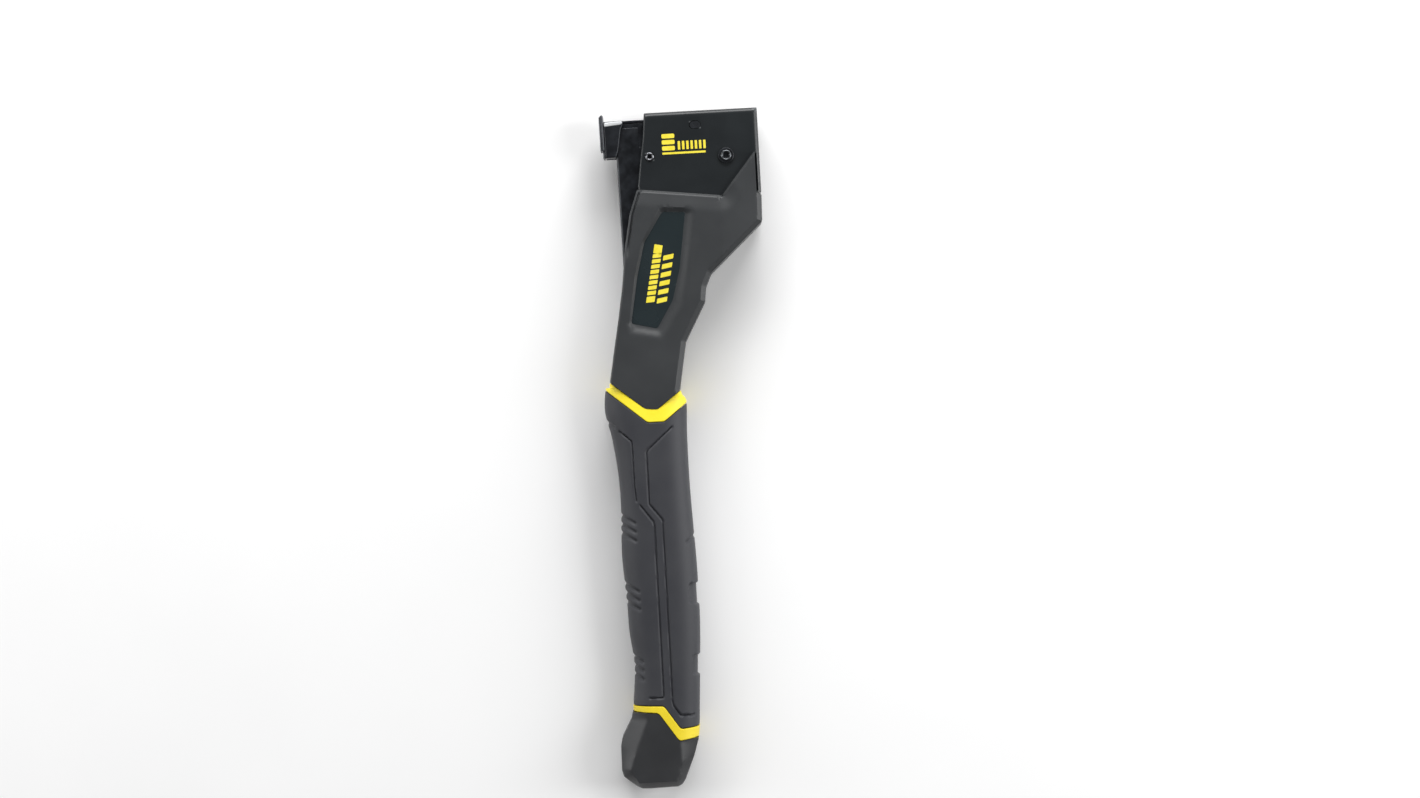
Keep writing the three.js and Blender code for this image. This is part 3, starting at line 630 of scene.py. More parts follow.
@dataclass(frozen=True)
class Bend:
    """Edges that get a greater radius than the rest: those whose middle passes the test.

    The radius is in millimetres, and an edge counts as sharp above sharpness, in degrees.
    """

    test: Callable[[Array], bool]
    radius: float
    finish: "Finish"
    segments: int = 5
    sharpness: float = 30.0

    def round(self, copy: bmesh.types.BMesh) -> None:
        """Rounds the sharp edges whose middle, in the tool's plan, passes the test.

        Args:
            copy: the mesh that is being finished; the bends' faces get its second material.
        """
        sharp = [edge for edge in copy.edges if edge.calc_face_angle(0) > math.radians(self.sharpness)]
        chosen = [
            edge
            for edge in sharp
            if self.test(np.array((edge.verts[0].co + edge.verts[1].co) / 2) / MM - ORIGIN)
        ]
        bmesh.ops.bevel(
            copy, geom=chosen, offset=self.radius * MM, segments=self.segments, profile=0.5,
            affect="EDGES", clamp_overlap=True, material=1,
        )


def refined(
    node: str, finish: "Finish", body: Body, width: float = 0.25, bend: Bend | None = None
) -> bpy.types.Object:
    """A finished copy of a CAD node: its flats made whole again and its edges rounded.

    Args:
        node: the CAD node that the copy stands for.
        finish: what it is made of.
        body: the frame's body that it moves with.
        width: how far the edges are rounded, in millimetres.
        bend: edges that are rounded more.

    Returns:
        The new object, named after the node.
    """
    copy = bmesh.new()
    copy.from_mesh(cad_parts[node].data)
    bmesh.ops.remove_doubles(copy, verts=copy.verts, dist=MERGE * MM)
    bmesh.ops.dissolve_limit(copy, angle_limit=math.radians(1), verts=copy.verts, edges=copy.edges)
    bmesh.ops.recalc_face_normals(copy, faces=copy.faces)
    if bend is not None:
        bend.round(copy)
    mesh = bpy.data.meshes.new(f"finished_{node}")
    copy.to_mesh(mesh)
    copy.free()
    made = linked(mesh.name, mesh)
    soften(made, Smoothing.SOFT)
    dress(made, finish)
    if bend is not None:
        mesh.materials.append(bend.finish.material())
    break_edges(made, width)
    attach(made, body.value)
    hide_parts(node)
    LOG.info("%s: copied from the frame", made.name)
    return made


# ---------------------------------------------------------------- finishes


def linear(colour: str) -> tuple[float, float, float, float]:
    """An sRGB hex colour as a linear one.

    A value c up to 0.04045 becomes c / 12.92, and a greater one ((c + 0.055) / 1.055) ^ 2.4.

    Args:
        colour: the colour as "#RRGGBB".

    Returns:
        Red, green, blue and alpha.
    """
    value = np.array([int(colour[i : i + 2], 16) for i in (1, 3, 5)]) / 255
    straight = np.where(value <= 0.04045, value / 12.92, ((value + 0.055) / 1.055) ** 2.4)
    return (*straight.tolist(), 1.0)


def add_node(
    tree: bpy.types.NodeTree, kind: str, settings: dict | None = None, links: dict | None = None
) -> bpy.types.Node:
    """Adds a node with its settings and its links.

    Args:
        tree: the material's nodes.
        kind: the node's type.
        settings: values by attribute or, where the node has no such attribute, by input socket.
        links: source sockets by input socket.

    Returns:
        The new node.
    """
    node = tree.nodes.new(kind)
    for name, value in (settings or {}).items():
        if isinstance(name, str) and hasattr(node, name):
            setattr(node, name, value)
        else:
            node.inputs[name].default_value = value
    for name, source in (links or {}).items():
        tree.links.new(source, node.inputs[name])
    return node


@dataclass(frozen=True)
class Finish:
    """A surface: its colour and how that varies, its gloss, and the relief of its texture.

    Grain and mottle are sizes on the real surface in millimetres, and relief is the grain's height.
    """

    name: str
    slot: str
    colour: str
    mottled_colour: str
    roughness: float
    roughness_range: float = 0.06
    metallic: float = 0.0
    specular: float = 0.5
    coat: float = 0.0
    coat_roughness: float = 0.1
    grain: float = 0.8
    relief: float = 0.02
    mottle: float = 14.0
    stretch: tuple[float, float, float] = (1.0, 1.0, 1.0)
    edge_wear_highlight_colour: str = ""
    edge_wear_and_highlight: float = 0.0

    def material(self) -> bpy.types.Material:
        """The finish as a material, made once and shared."""
        made = bpy.data.materials.get(self.name)
        return made if made else self._made()

    def _made(self) -> bpy.types.Material:
        """Builds the material's nodes.

        Returns:
            A material whose colour wanders between two tones, whose edges may be lightened as wear
            and as a painted highlight, and whose grain drives the roughness and the bump.
        """
        made = bpy.data.materials.new(self.name)
        made.use_nodes = True
        tree = made.node_tree
        tree.nodes.clear()
        output = add_node(tree, "ShaderNodeOutputMaterial")
        place = add_node(tree, "ShaderNodeTexCoord").outputs["Object"]
        spread = add_node(
            tree, "ShaderNodeMapping", {"Scale": self.stretch}, {"Vector": place}
        ).outputs["Vector"]
        cloud = self._noise(tree, spread, self.mottle, 3.0)
        grain = self._noise(tree, spread, self.grain, 2.0)
        tone = self._mix(tree, cloud, linear(self.colour), linear(self.mottled_colour), (0.35, 0.7))
        if self.edge_wear_highlight_colour:
            tone = self._worn_and_highlit(tree, tone, grain)
        gloss = add_node(
            tree,
            "ShaderNodeMapRange",
            {
                "To Min": max(self.roughness - self.roughness_range, 0.02),
                "To Max": min(self.roughness + self.roughness_range, 1.0),
            },
            {"Value": cloud},
        ).outputs["Result"]
        bump = add_node(
            tree, "ShaderNodeBump", {"Strength": 0.9, "Distance": self.relief * MM}, {"Height": grain}
        ).outputs["Normal"]
        shader = add_node(
            tree,
            "ShaderNodeBsdfPrincipled",
            {
                "Metallic": self.metallic,
                "Specular IOR Level": self.specular,
                "Coat Weight": self.coat,
                "Coat Roughness": self.coat_roughness,
            },
            {"Base Color": tone, "Roughness": gloss, "Normal": bump},
        )
        tree.links.new(shader.outputs["BSDF"], output.inputs["Surface"])
        return made

    def _noise(
        self, tree: bpy.types.NodeTree, place: bpy.types.NodeSocket, size: float, detail: float
    ) -> bpy.types.NodeSocket:
        """Noise of a real size.

        Args:
            tree: the material's nodes.
            place: where on the piece the noise is read.
            size: about how wide its blotches are, in millimetres.
            detail: how many finer layers it has.

        Returns:
            The socket that gives its value.
        """
        settings = {"Scale": 1 / (size * MM), "Detail": detail, "Roughness": 0.55}
        return add_node(tree, "ShaderNodeTexNoise", settings, {"Vector": place}).outputs["Fac"]

    def _mix(
        self,
        tree: bpy.types.NodeTree,
        share: bpy.types.NodeSocket,
        low: tuple[float, ...],
        high: tuple[float, ...],
        ends: tuple[float, float],
    ) -> bpy.types.NodeSocket:
        """A colour ramp between two colours.

        Args:
            tree: the material's nodes.
            share: the socket that the ramp reads.
            low: the linear colour below the first end.
            high: the linear colour above the second end.
            ends: the two values between which the colour changes.

        Returns:
            The socket that gives the colour.
        """
        ramp = add_node(tree, "ShaderNodeValToRGB", links={"Fac": share})
        for stop, place, colour in zip(ramp.color_ramp.elements, ends, (low, high)):
            stop.position = place
            stop.color = colour
        return ramp.outputs["Color"]

    def _worn_and_highlit(
        self, tree: bpy.types.NodeTree, tone: bpy.types.NodeSocket, grain: bpy.types.NodeSocket
    ) -> bpy.types.NodeSocket:
        """Lightens the raised edges, broken up by the grain, as wear and as a painted highlight.

        Pointiness is above a half on an edge that stands out. It is stretched to 0..1, multiplied by
        the grain, and mixes the edge colour in.

        Args:
            tree: the material's nodes.
            tone: the socket of the colour away from the edges.
            grain: the socket of the grain.

        Returns:
            The socket of the colour with its worn and highlit edges.
        """
        point = add_node(tree, "ShaderNodeNewGeometry").outputs["Pointiness"]
        raised = add_node(
            tree,
            "ShaderNodeMapRange",
            {"From Min": 0.54, "From Max": 0.64, "To Max": self.edge_wear_and_highlight},
            {"Value": point},
        ).outputs["Result"]
        patchy = add_node(
            tree, "ShaderNodeMath", {"operation": "MULTIPLY", "use_clamp": True}, {0: raised, 1: grain}
        ).outputs["Value"]
        mix = add_node(tree, "ShaderNodeMix", {"data_type": "RGBA"}, {0: patchy, 6: tone})
        mix.inputs[7].default_value = linear(self.edge_wear_highlight_colour)
        return mix.outputs[2]


# Pressed steel sprayed with a satin enamel: dark green-black, a faint orange peel, its folds and edges
# painted lighter as a highlight.
FRAME_ENAMEL = Finish(
    "satin_enamel", "frame_paint", "#0F1417", "#151A1D", 0.38, 0.05, specular=0.45, coat=0.1,
    coat_roughness=0.3, grain=1.6, relief=0.012, mottle=22, edge_wear_highlight_colour="#9A9FA1", edge_wear_and_highlight=0.5,
)
# Black-oxided steel: dark, faintly metallic, cloudy where the bath and the hands left marks.
OXIDE_STEEL = Finish(
    "oxide_steel", "dark_steel", "#17191D", "#292C31", 0.36, 0.09, metallic=0.5, grain=0.7,
    relief=0.012, mottle=5, edge_wear_highlight_colour="#8A8D92", edge_wear_and_highlight=0.8,
)
# The same steel, painted a light grey on the web's bends: a painted highlight along their rounded edges.
BEND_HIGHLIGHT_STEEL = Finish(
    "painted_highlight_bend_steel", "dark_steel", "#8E9094", "#A2A4A8", 0.42, 0.08, metallic=0.3, grain=0.5,
    relief=0.01, mottle=4, edge_wear_highlight_colour="#9A9CA0", edge_wear_and_highlight=0.5,
)
# The same steel, painted light on the nose's top ledge as a painted highlight, with fine scratches across.
LEDGE_HIGHLIGHT_STEEL = Finish(
    "painted_highlight_ledge_steel", "dark_steel", "#C6C8CA", "#DADCDD", 0.5, 0.08, metallic=0.35, grain=0.4,
    relief=0.008, mottle=5, stretch=(0.1, 1.0, 1.0),
)
# Drawn steel strip: grey metal with fine lines along its length.
STRIP_STEEL = Finish(
    "strip_steel", "plain_steel", "#5B5E61", "#707376", 0.34, 0.08, metallic=1.0, grain=0.5,
    relief=0.006, mottle=9, stretch=(1.0, 0.08, 1.0),
)
# Zinc plate on turned and headed parts: a grey metal with a soft haze.
ZINC_PLATE = Finish(
    "zinc_plate", "bright_steel", "#7E8084", "#96989C", 0.28, 0.07, metallic=1.0, grain=0.6,
    relief=0.008, mottle=3,
)
# Glass-filled nylon from a spark-eroded mould: dark grey, matt, with a fine even grain.
CASING_NYLON = Finish(
    "glass_filled_nylon", "composite", "#2B2D2F", "#313335", 0.46, 0.05, specular=0.45, grain=0.55,
    relief=0.03, mottle=30, edge_wear_highlight_colour="#5A5C60", edge_wear_and_highlight=0.4,
)
# Soft thermoplastic rubber moulded over the handle: dark grey and dull, finely grained.
GRIP_TPE = Finish(
    "moulded_rubber", "grip_rubber", "#303136", "#36373B", 0.55, 0.06, specular=0.4, grain=0.7,
    relief=0.035, mottle=26,
)
# Moulded polypropylene: a shade darker than the casing, slightly waxy.
CAP_MOULDING = Finish(
    "moulded_cap", "cap_plastic", "#292A2C", "#2F3032", 0.44, 0.06, specular=0.45, grain=0.6,
    relief=0.03, mottle=24, edge_wear_highlight_colour="#515255", edge_wear_and_highlight=0.35,
)
# Polished acrylic panel: dark blue-green with a soft gloss.
LABEL_ACRYLIC = Finish(
    "gloss_acrylic", "label_gloss", "#1C2528", "#20292C", 0.27, 0.03, specular=0.4, coat=0.15,
    coat_roughness=0.15, grain=3.0, relief=0.004, mottle=20,
)
# Yellow rubber of the chevron: strong and dull, moulded with the grip.
BAND_YELLOW = Finish(
    "band_yellow", "accent_yellow", "#F4DE28", "#F9E736", 0.5, 0.05, specular=0.4, grain=0.7,
    relief=0.02, mottle=12,
)
# The same rubber at the foot of the grip, a little darker: painted shade.
SHADED_FOOT_YELLOW = Finish(
    "painted_shade_foot_yellow", "accent_yellow", "#E4CC26", "#ECD630", 0.5, 0.05, specular=0.4, grain=0.7,
    relief=0.02, mottle=12,
)
# Screen-printed ink: a thin yellow film, a little uneven.
PRINT_INK = Finish(
    "print_ink", "accent_yellow", "#E2D034", "#EBDB4A", 0.45, 0.05, specular=0.4, grain=0.4,
    relief=0.006, mottle=3,
)
# Black vulcanised rubber: very dark, with hardly a highlight.
BLACK_RUBBER = Finish(
    "black_rubber", "bumper_rubber", "#161617", "#1D1D1E", 0.8, 0.06, specular=0.3, grain=0.6,
    relief=0.03, mottle=8,
)
# Natural nylon: milky and slightly glossy.
NATURAL_NYLON = Finish(
    "natural_nylon", "bush_nylon", "#B7B1A0", "#C2BCAD", 0.4, 0.05, grain=1.0, relief=0.01, mottle=6,
)
# The studio's paper floor: nearly white and dull.
PALE_PAPER = Finish(
    "pale_paper", "", "#F4F4F4", "#F7F7F7", 0.9, 0.03, grain=2.0, relief=0.0, mottle=200,
)


# ---------------------------------------------------------------- the handle's shape


class Line:
    """A line across the handle, as a height for each X, with its bends a little rounded."""

    def __init__(self, points: Points, shift: float = 0.0, softness: float = 0.9) -> None:
        """Keeps the line's points.

        Args:
            points: X and Y of each point, from left to right.
            shift: how far the line is moved up.
            softness: how far round each X the heights are averaged.
        """
        self.x, self.y = np.array(points, float).T
        self.shift, self.softness = shift, softness

    def __call__(self, x: Array) -> Array:
        """The height at each X: the mean of the straight pieces' heights at five places close by."""
        near = [np.interp(x + d, self.x, self.y) for d in np.array([-1, -0.5, 0, 0.5, 1]) * self.softness]
        return np.mean(near, axis=0) + self.shift

    def raised(self, shift: float) -> "Line":
        """The same line higher up."""
        return Line(np.c_[self.x, self.y], self.shift + shift, self.softness)


CHEVRON_TOP = Line([(-60, 219.1), (-6.5, 175.7), (0, 175), (60, 219.3)])
CHEVRON_FOOT = Line([(-60, 214.2), (-5.5, 168.3), (3.5, 168.3), (60, 212)])
BAND_TOP = Line([(-60, 17), (-5, 14.6), (3.5, 1.8), (60, 6)])
BAND_FOOT = Line([(-60, 15.6), (-8, 10.8), (2.4, -4.7), (60, 2.5)])


def spline(points: Points) -> Callable[[Array], Array]:
    """A smooth value that passes through (y, x) points.

    Between two points the curve is the cubic that has their values and, at each, half of the
    difference between its neighbours as its slope.

    Args:
        points: Y, rising, and the value there.

    Returns:
        A function that gives the value at any Y.
    """
    p = np.array(points, float)
    t = np.linspace(0, len(p) - 1, len(p) * 8 + 1)
    i = np.minimum(t.astype(int), len(p) - 2)
    w = (t - i)[:, None]
    a, b, c, d = p[np.maximum(i - 1, 0)], p[i], p[i + 1], p[np.minimum(i + 2, len(p) - 1)]
    v0, v1 = (c - a) / 2, (d - b) / 2
    curve = (2 * b - 2 * c + v0 + v1) * w**3 + (-3 * b + 3 * c - 2 * v0 - v1) * w**2 + v0 * w + b
    return lambda y: np.interp(y, curve[:, 0], curve[:, 1])


class Handle:
    """The handle's outer surface: a rounded box whose left and right sides wander along Y.

    Each ring has COLUMNS points. The greater the POWER, the squarer the section. The points are
    spread evenly from FINE_STEPS finer ones on a section that is WIDER than thick by that factor,
    and a ring's X and height are worked out from each other in ROUNDS turns.
    """

    COLUMNS = 264
    POWER = 3.2
    FINE_STEPS = 6001
    WIDER = 1.1
    ROUNDS = 6

    def __init__(self) -> None:
        """Takes the half thickness from the frame and sets the two sides' curves."""
        self.half = extent("grip_sleeve")[1][2]
        self.left = spline([
            (-40, -21.4), (0, -21.6), (15, -21.7), (24, -20.8), (38, -20), (55, -21.8), (72, -22.3),
            (97, -23.6), (122, -22.8), (140, -23.2), (160, -25.5), (175, -28.6), (187, -27.6),
            (191, -24.7), (210, -20.8),
        ])
        self.right = spline([
            (-40, 4), (-14, 9.4), (-4, 12.9), (15, 14.4), (35, 15.6), (60, 16.9), (90, 16.8),
            (130, 15.4), (160, 15.3), (178, 15.9), (184, 13.2), (192, 14.2),
        ])
        self.across, self.through = self._section()

    def _section(self) -> tuple[Array, Array]:
        """The section's shape on a unit box, at even steps round it.

        With turn a, it is (-|cos a|^(2/p), |sin a|^(2/p)) with the signs of cos a and sin a, and
        the points are spread evenly by length for a box that is a little wider than it is thick.

        Returns:
            The share of the half width and of the half thickness at each step.
        """
        a = np.linspace(0, 2 * math.pi, self.FINE_STEPS)
        across = -np.sign(np.cos(a)) * np.abs(np.cos(a)) ** (2 / self.POWER)
        through = np.sign(np.sin(a)) * np.abs(np.sin(a)) ** (2 / self.POWER)
        run = np.r_[0, np.cumsum(np.hypot(np.diff(across) * self.WIDER, np.diff(through)))]
        at = np.linspace(0, run[-1], self.COLUMNS, endpoint=False)
        return np.interp(at, run, across), np.interp(at, run, through)

    def surface(
        self,
        height: Callable[[Array], Array],
        inset: Array,
        carve: Callable[[Array, Array], Array] | None = None,
    ) -> Shape:
        """Rings round the handle, joined into a closed sleeve.

        Args:
            height: gives Y for an array of X, one row for each ring.
            inset: how far each ring is inside the handle's surface.
            carve: a further inset for each point, from X and Y.

        Returns:
            The vertices and faces. A ring's height depends on X, and X on the height through the
            sides' curves, so the two are worked out in turn a few times until they agree.
        """
        shape = (len(inset), self.COLUMNS)
        y = height(np.zeros(shape))
        deep = np.broadcast_to(inset[:, None], shape)
        for _ in range(self.ROUNDS):
            left, right = self.left(y), self.right(y)
            x = (left + right) / 2 + ((right - left) / 2 - deep) * self.across
            y = height(x)
        if carve is not None:
            deep = deep + carve(x, y)
            x = (left + right) / 2 + ((right - left) / 2 - deep) * self.across
        z = (self.half - deep) * self.through
        return np.stack([x, y, z], axis=-1).reshape(-1, 3), quads(*shape, True, True)


@dataclass
class Sleeve:
    """A skin of the handle between two lines, with rounded rims.

    Its outside is proud of the handle's surface and its inside a wall below it. What is carved
    into it fades out at its rims.
    """

    lower: Line
    upper: Line
    wall: float
    proud: float = 0.0
    rim: float = 0.5
    rim_rows: int = 5
    rows: int = 12
    inner_rows: int = 3
    fade: float = 1.5

    def shape(self, handle: Handle, carve: Callable[[Array, Array], Array] | None = None) -> Shape:
        """The sleeve's surface.

        The rings go up the outside and down the inside. Near each rim they follow a quarter of a
        circle, whose inset is r (1 - cos a) at a distance r (1 - sin a) from the rim's line.

        Args:
            handle: the surface that it lies on.
            carve: what is cut into its outside.

        Returns:
            The vertices and faces.
        """
        count = self.rim_rows
        bend = np.linspace(0, math.pi / 2, count)
        reach, sink = self.rim * (1 - np.cos(bend)), self.rim * (1 - np.sin(bend))
        share = np.r_[np.zeros(count), np.linspace(0, 1, self.rows)[1:-1], np.ones(count)]
        up = np.r_[reach, np.zeros(self.rows - 2), -reach[::-1]]
        inset = np.r_[sink, np.zeros(self.rows - 2), sink[::-1]] - self.proud
        inner = np.linspace(1, 0, self.inner_rows)
        share, up = np.r_[share, inner], np.r_[up, np.zeros(self.inner_rows)]
        inset = np.r_[inset, np.full(self.inner_rows, self.wall)]
        outer = np.r_[np.ones(2 * count + self.rows - 2), np.zeros(self.inner_rows)]

        def height(x: Array) -> Array:
            """Each ring's share of the way from the lower line to the upper."""
            low, high = self.lower(x), self.upper(x)
            return low + (high - low) * share[:, None] + up[:, None]

        def cut(x: Array, y: Array) -> Array:
            """The carving, kept to the outside and faded out at the rims."""
            edge = np.minimum(y - self.lower(x), self.upper(x) - y)
            return carve(x, y) * outer[:, None] * eased(edge / self.fade)

        return handle.surface(height, inset, cut if carve else None)


# ---------------------------------------------------------------- sub-assemblies


@dataclass
class Grip:
    """The soft grip, the two yellow bands and the handle's core."""

    handle: Handle
    wall: float = 3.0
    groove: float = 0.8
    groove_depth: float = 1.0
    rib: float = 1.5
    rib_depth: float = 0.8
    core_top: float = 177.5
    grooves: Sequence[Points] = (
        ((-21, 164), (-15, 158.5), (-14.7, 155), (-14.7, 134), (-14, 126)),
        ((-12, 123.5), (-5.3, 114.5), (-4.8, 112.5), (-4.8, 20), (-5.4, 19.3), (-12.5, 19.3)),
        (
            (7.5, 165), (-6.4, 153.2), (-7, 152), (-7, 124), (-0.6, 115.8), (0, 114.5), (0, 17),
            (0.5, 14.5), (3.5, 10), (4.2, 9.2), (11, 9.2),
        ),
    )
    rib_places: Sequence[float] = (111.5, 74.5, 36.5)
    rib_pitch: float = 4.8
    pockets: Sequence[float] = (66.5, 27.5)
    pocket_height: float = 14.0
    pocket_depth: float = 1.2
    pocket_slope: float = 0.8
    # Short notches at the grip's sides: their two ends, half width and depth.
    notches: Sequence[tuple[Points, float, float]] = (
        (((17.5, 106.5), (12.5, 102.5)), 1.4, 0.6),
        (((-29.5, 170.8), (-24, 166.8)), 1.3, 0.7),
    )
    seam: float = 0.3
    core_wall: float = 0.85
    core_foot: float = -14.0
    spigot_step: float = 1.5

    def build(self) -> None:
        """Makes the grip, the bands and the core."""
        seam = self.seam
        grip = Sleeve(
            BAND_TOP.raised(seam), CHEVRON_FOOT.raised(-seam), self.wall, rim=0.6, rows=276, inner_rows=20
        )
        upper = Sleeve(CHEVRON_FOOT, CHEVRON_TOP, self.wall, proud=0.15, rim=0.5)
        lower = Sleeve(BAND_FOOT.raised(seam), BAND_TOP, self.wall, proud=0.1, rim=0.4)
        for name, shape, finish, replaced in (
            ("grip_overmould", grip.shape(self.handle, self._carved), GRIP_TPE, ["grip_sleeve"]),
            ("upper_chevron", upper.shape(self.handle), BAND_YELLOW, ["accent_band_upper"]),
            # The lower band is a darker copy of the yellow rubber: painted shade.
            ("lower_band", lower.shape(self.handle), SHADED_FOOT_YELLOW, ["accent_band_lower"]),
            ("handle_core", self._core(), CASING_NYLON, []),
        ):
            piece(name, shape, finish, Body.TOOL, replaced, Smoothing.SOFT)

    def _carved(self, x: Array, y: Array) -> Array:
        """How deep the grip is cut: its grooves, finger ribs, pockets and notches.

        A cut of half width w is depth (1 + cos(pi d / w)) / 2 at a distance d from its line.

        Args:
            x: X of each point of the grip.
            y: Y of each point of the grip.

        Returns:
            The greatest of the cuts' depths at each point.
        """
        points = np.stack([x.ravel(), y.ravel()], axis=1)

        def cut(line: Points, half: float, depth: float) -> Array:
            """The depth of one cut."""
            d = np.minimum(distance(points, np.array(line, float)) / half, 1)
            return depth * (1 + np.cos(math.pi * d)) / 2

        cuts = [cut(line, self.groove, self.groove_depth) for line in self.grooves]
        for middle in self.rib_places:
            for rise in (-self.rib_pitch, 0, self.rib_pitch):
                ends = ((-24.5, middle + rise + 3.4), (-15.5, middle + rise - 2.2))
                cuts.append(cut(ends, self.rib, self.rib_depth))
        for foot in self.pockets:
            head = foot + self.pocket_height
            pocket = np.array([(11.4, foot + 3.6), (20, foot), (20, head), (12.2, head)], float)
            deep = eased(distance(points, pocket, True) / self.pocket_slope) * self.pocket_depth
            cuts.append(np.where(inside(points, pocket), deep, 0))
        cuts += [cut(*notch) for notch in self.notches]
        return np.max(cuts, axis=0).reshape(x.shape)

    def _core(self) -> Shape:
        """The hollow core under the grip, and the narrower spigot that the cap slides onto.

        Its rings go from the spigot's end up the outside, and down the inside to the end again.

        Returns:
            The vertices and faces.
        """
        core, foot, outer_rings, inner_rings = self.wall + self.seam, self.core_foot, 16, 18
        spigot = core + self.spigot_step
        step = BAND_FOOT.raised(2 * self.seam)
        inset = np.r_[
            spigot + 0.5, spigot, spigot, np.full(outer_rings, core),
            np.full(inner_rings, core + self.core_wall),
        ]

        def height(x: Array) -> Array:
            """The rings' heights: the spigot's end, its top, up the outside and down the inside.

            Args:
                x: X of each ring's points, of which the first ring's are read.

            Returns:
                One row of heights for each ring.
            """
            low, high = step(x[0]), np.full(x.shape[1], self.core_top)
            outside = [low + (high - low) * share for share in np.linspace(0, 1, outer_rings)]
            inner = [np.full_like(low, y) for y in np.linspace(self.core_top, foot, inner_rings)]
            return np.stack([np.full_like(low, foot), np.full_like(low, foot + 0.5), low, *outside, *inner])

        return self.handle.surface(height, inset)


@dataclass
class Casing:
    """The composite body: two moulded halves that hold the head frame, and their label panels."""

    left_edge: Points = (
        (-4.6, 294.3), (-9.2, 281), (-12.6, 263.6), (-14.3, 249.6), (-15.6, 240), (-18.2, 225),
        (-21.2, 209.6), (-24.7, 190.8),
    )
    foot_edge: Points = ((-6.5, 175.85), (0, 175.15))
    right_edge: Points = (
        (12.7, 184.55), (14.6, 195.6), (17.4, 210.8), (29, 232), (30, 240.1), (33.1, 247.1),
        (62.2, 273.6), (62.6, 288.2),
    )
    top_edge: Points = ((60.0, 289.2), (60.0, 311.8), (41.3, 288.7), (-4.6, 294.3))
    label: Points = (
        (8.4, 281.4), (20.8, 280.6), (19.7, 273), (16.3, 250.6), (11.6, 233.5), (2.5, 218.7),
        (-11.3, 222), (-6.9, 246.6), (-2, 265.5),
    )
    recess: Points = (
        (7.2, 284.2), (24.6, 282.8), (26.4, 280.4), (20.8, 247), (18.0, 230.8), (5.4, 212.6),
        (-13.4, 216.6), (-8.4, 246.9), (-3.3, 266),
    )
    # The room for the head frame's plates, and the top of the magazine's, which is open to the left.
    plate_room: Points = (
        (-30, 240), (-1.8, 283.6), (3.7, 263.3), (42.2, 263.3), (55.3, 273.4), (57.9, 284),
        (57.9, 340), (-30, 340),
    )
    magazine_room_top: Points = ((40, 285.6), (40, 340), (-40, 340), (-40, 242))
    parting: float = 0.15
    magazine_room_height: float = 10.9
    plate_room_height: float = 12.9
    # Slopes of the outer face, each as its width and its depth.
    right_chamfer: tuple[float, float] = (2.6, 2.2)
    left_shoulder: tuple[float, float] = (1.3, 1.1)
    head_bevel: tuple[float, float] = (1.3, 1.1)
    head_slope: tuple[float, float] = (9.0, 1.3)
    slant_bevel: tuple[float, float] = (1.0, 0.9)
    slant_slope: tuple[float, float] = (8.0, 0.7)
    lip: tuple[float, float] = (2.6, 1.5)
    lip_groove: tuple[float, float] = (1.7, 0.8)
    facet_fall: float = 0.07
    crease: Points = ((250.0, 39.5), (288.7, 41.3))
    # Where a slope begins along its line, and how far on it has its full depth.
    lip_start: tuple[float, float] = (256.0, 10.0)
    facet_start: tuple[float, float] = (246.0, 16.0)
    slant_start: tuple[float, float] = (38.0, 6.0)
    recess_depth: float = 1.7
    corner: float = 1.2
    label_drop: float = 1.58
    label_thickness: float = 1.0
    screws: Points = ((51, 281.6), (33, 253.6), (-18.6, 203.6))
    screw_hole: float = 2.8
    screw_depth: float = 4.6
    face: float = field(init=False)

    def build(self) -> None:
        """Makes both halves, their panels, the panels' print and the screws."""
        self.face = extent("body_shell_left")[1][2]
        for side in Side:
            node = f"body_shell_{side.label}"
            piece(f"casing_{side.label}", self._half(side), CASING_NYLON, Body.TOOL, [node])
            self._panel(side)
        for number, place in enumerate(self.screws, 1):
            self._screw(number, place)

    def _outline(self) -> Array:
        """The whole outline, anticlockwise from the top left, with slightly rounded corners."""
        return rounded([*self.left_edge, *self.foot_edge, *self.right_edge, *self.top_edge[:-1]], 1.0)

    def _magazine_room(self) -> Array:
        """The room that the magazine swings in: beside it at rest on the left, and struck on the right.

        Returns:
            The room's outline, which is open to the left of the body above its lower end.
        """
        left = [leaning(REST_LEAN, -6.6, v) for v in (150.0, 238.0)]
        right = [leaning(STRUCK_LEAN, 6.95, v) for v in (150.0, 285.0)]
        return np.array([left[0], *right, *self.magazine_room_top, left[1]])

    def _half(self, side: Side) -> Shape:
        """One half of the body, from its outer face to the parting plane or the room inside.

        Args:
            side: which half; only the right one has screw holes.

        Returns:
            The vertices and faces. Each wall of a room stands between two lines that are 0.06 mm
            apart, so that it is upright.
        """
        holes = self.screws if side is Side.RIGHT else ()
        rooms = [stepped(room, 3) for room in (self._magazine_room(), np.array(self.plate_room, float))]
        walls = [grown(room, by) for room in rooms for by in (-0.03, 0.03)]
        label, recess = (
            stepped(rounded(line, self.corner), self.corner) for line in (self.label, self.recess)
        )
        kept = [label, recess, *walls]
        kept += [circle(place, self.screw_hole + by) for place in holes for by in (0, 0.05, 0.5)]
        plan = Plan(self._outline(), lines=kept, rings=(0.3, 0.7, 1.1, 1.5, 1.9, 2.5, 3.1, 4.0), pitch=1.5)
        return side.of(plan.solid(self._face(plan.points, label, recess, holes), self._inner(plan.points)))

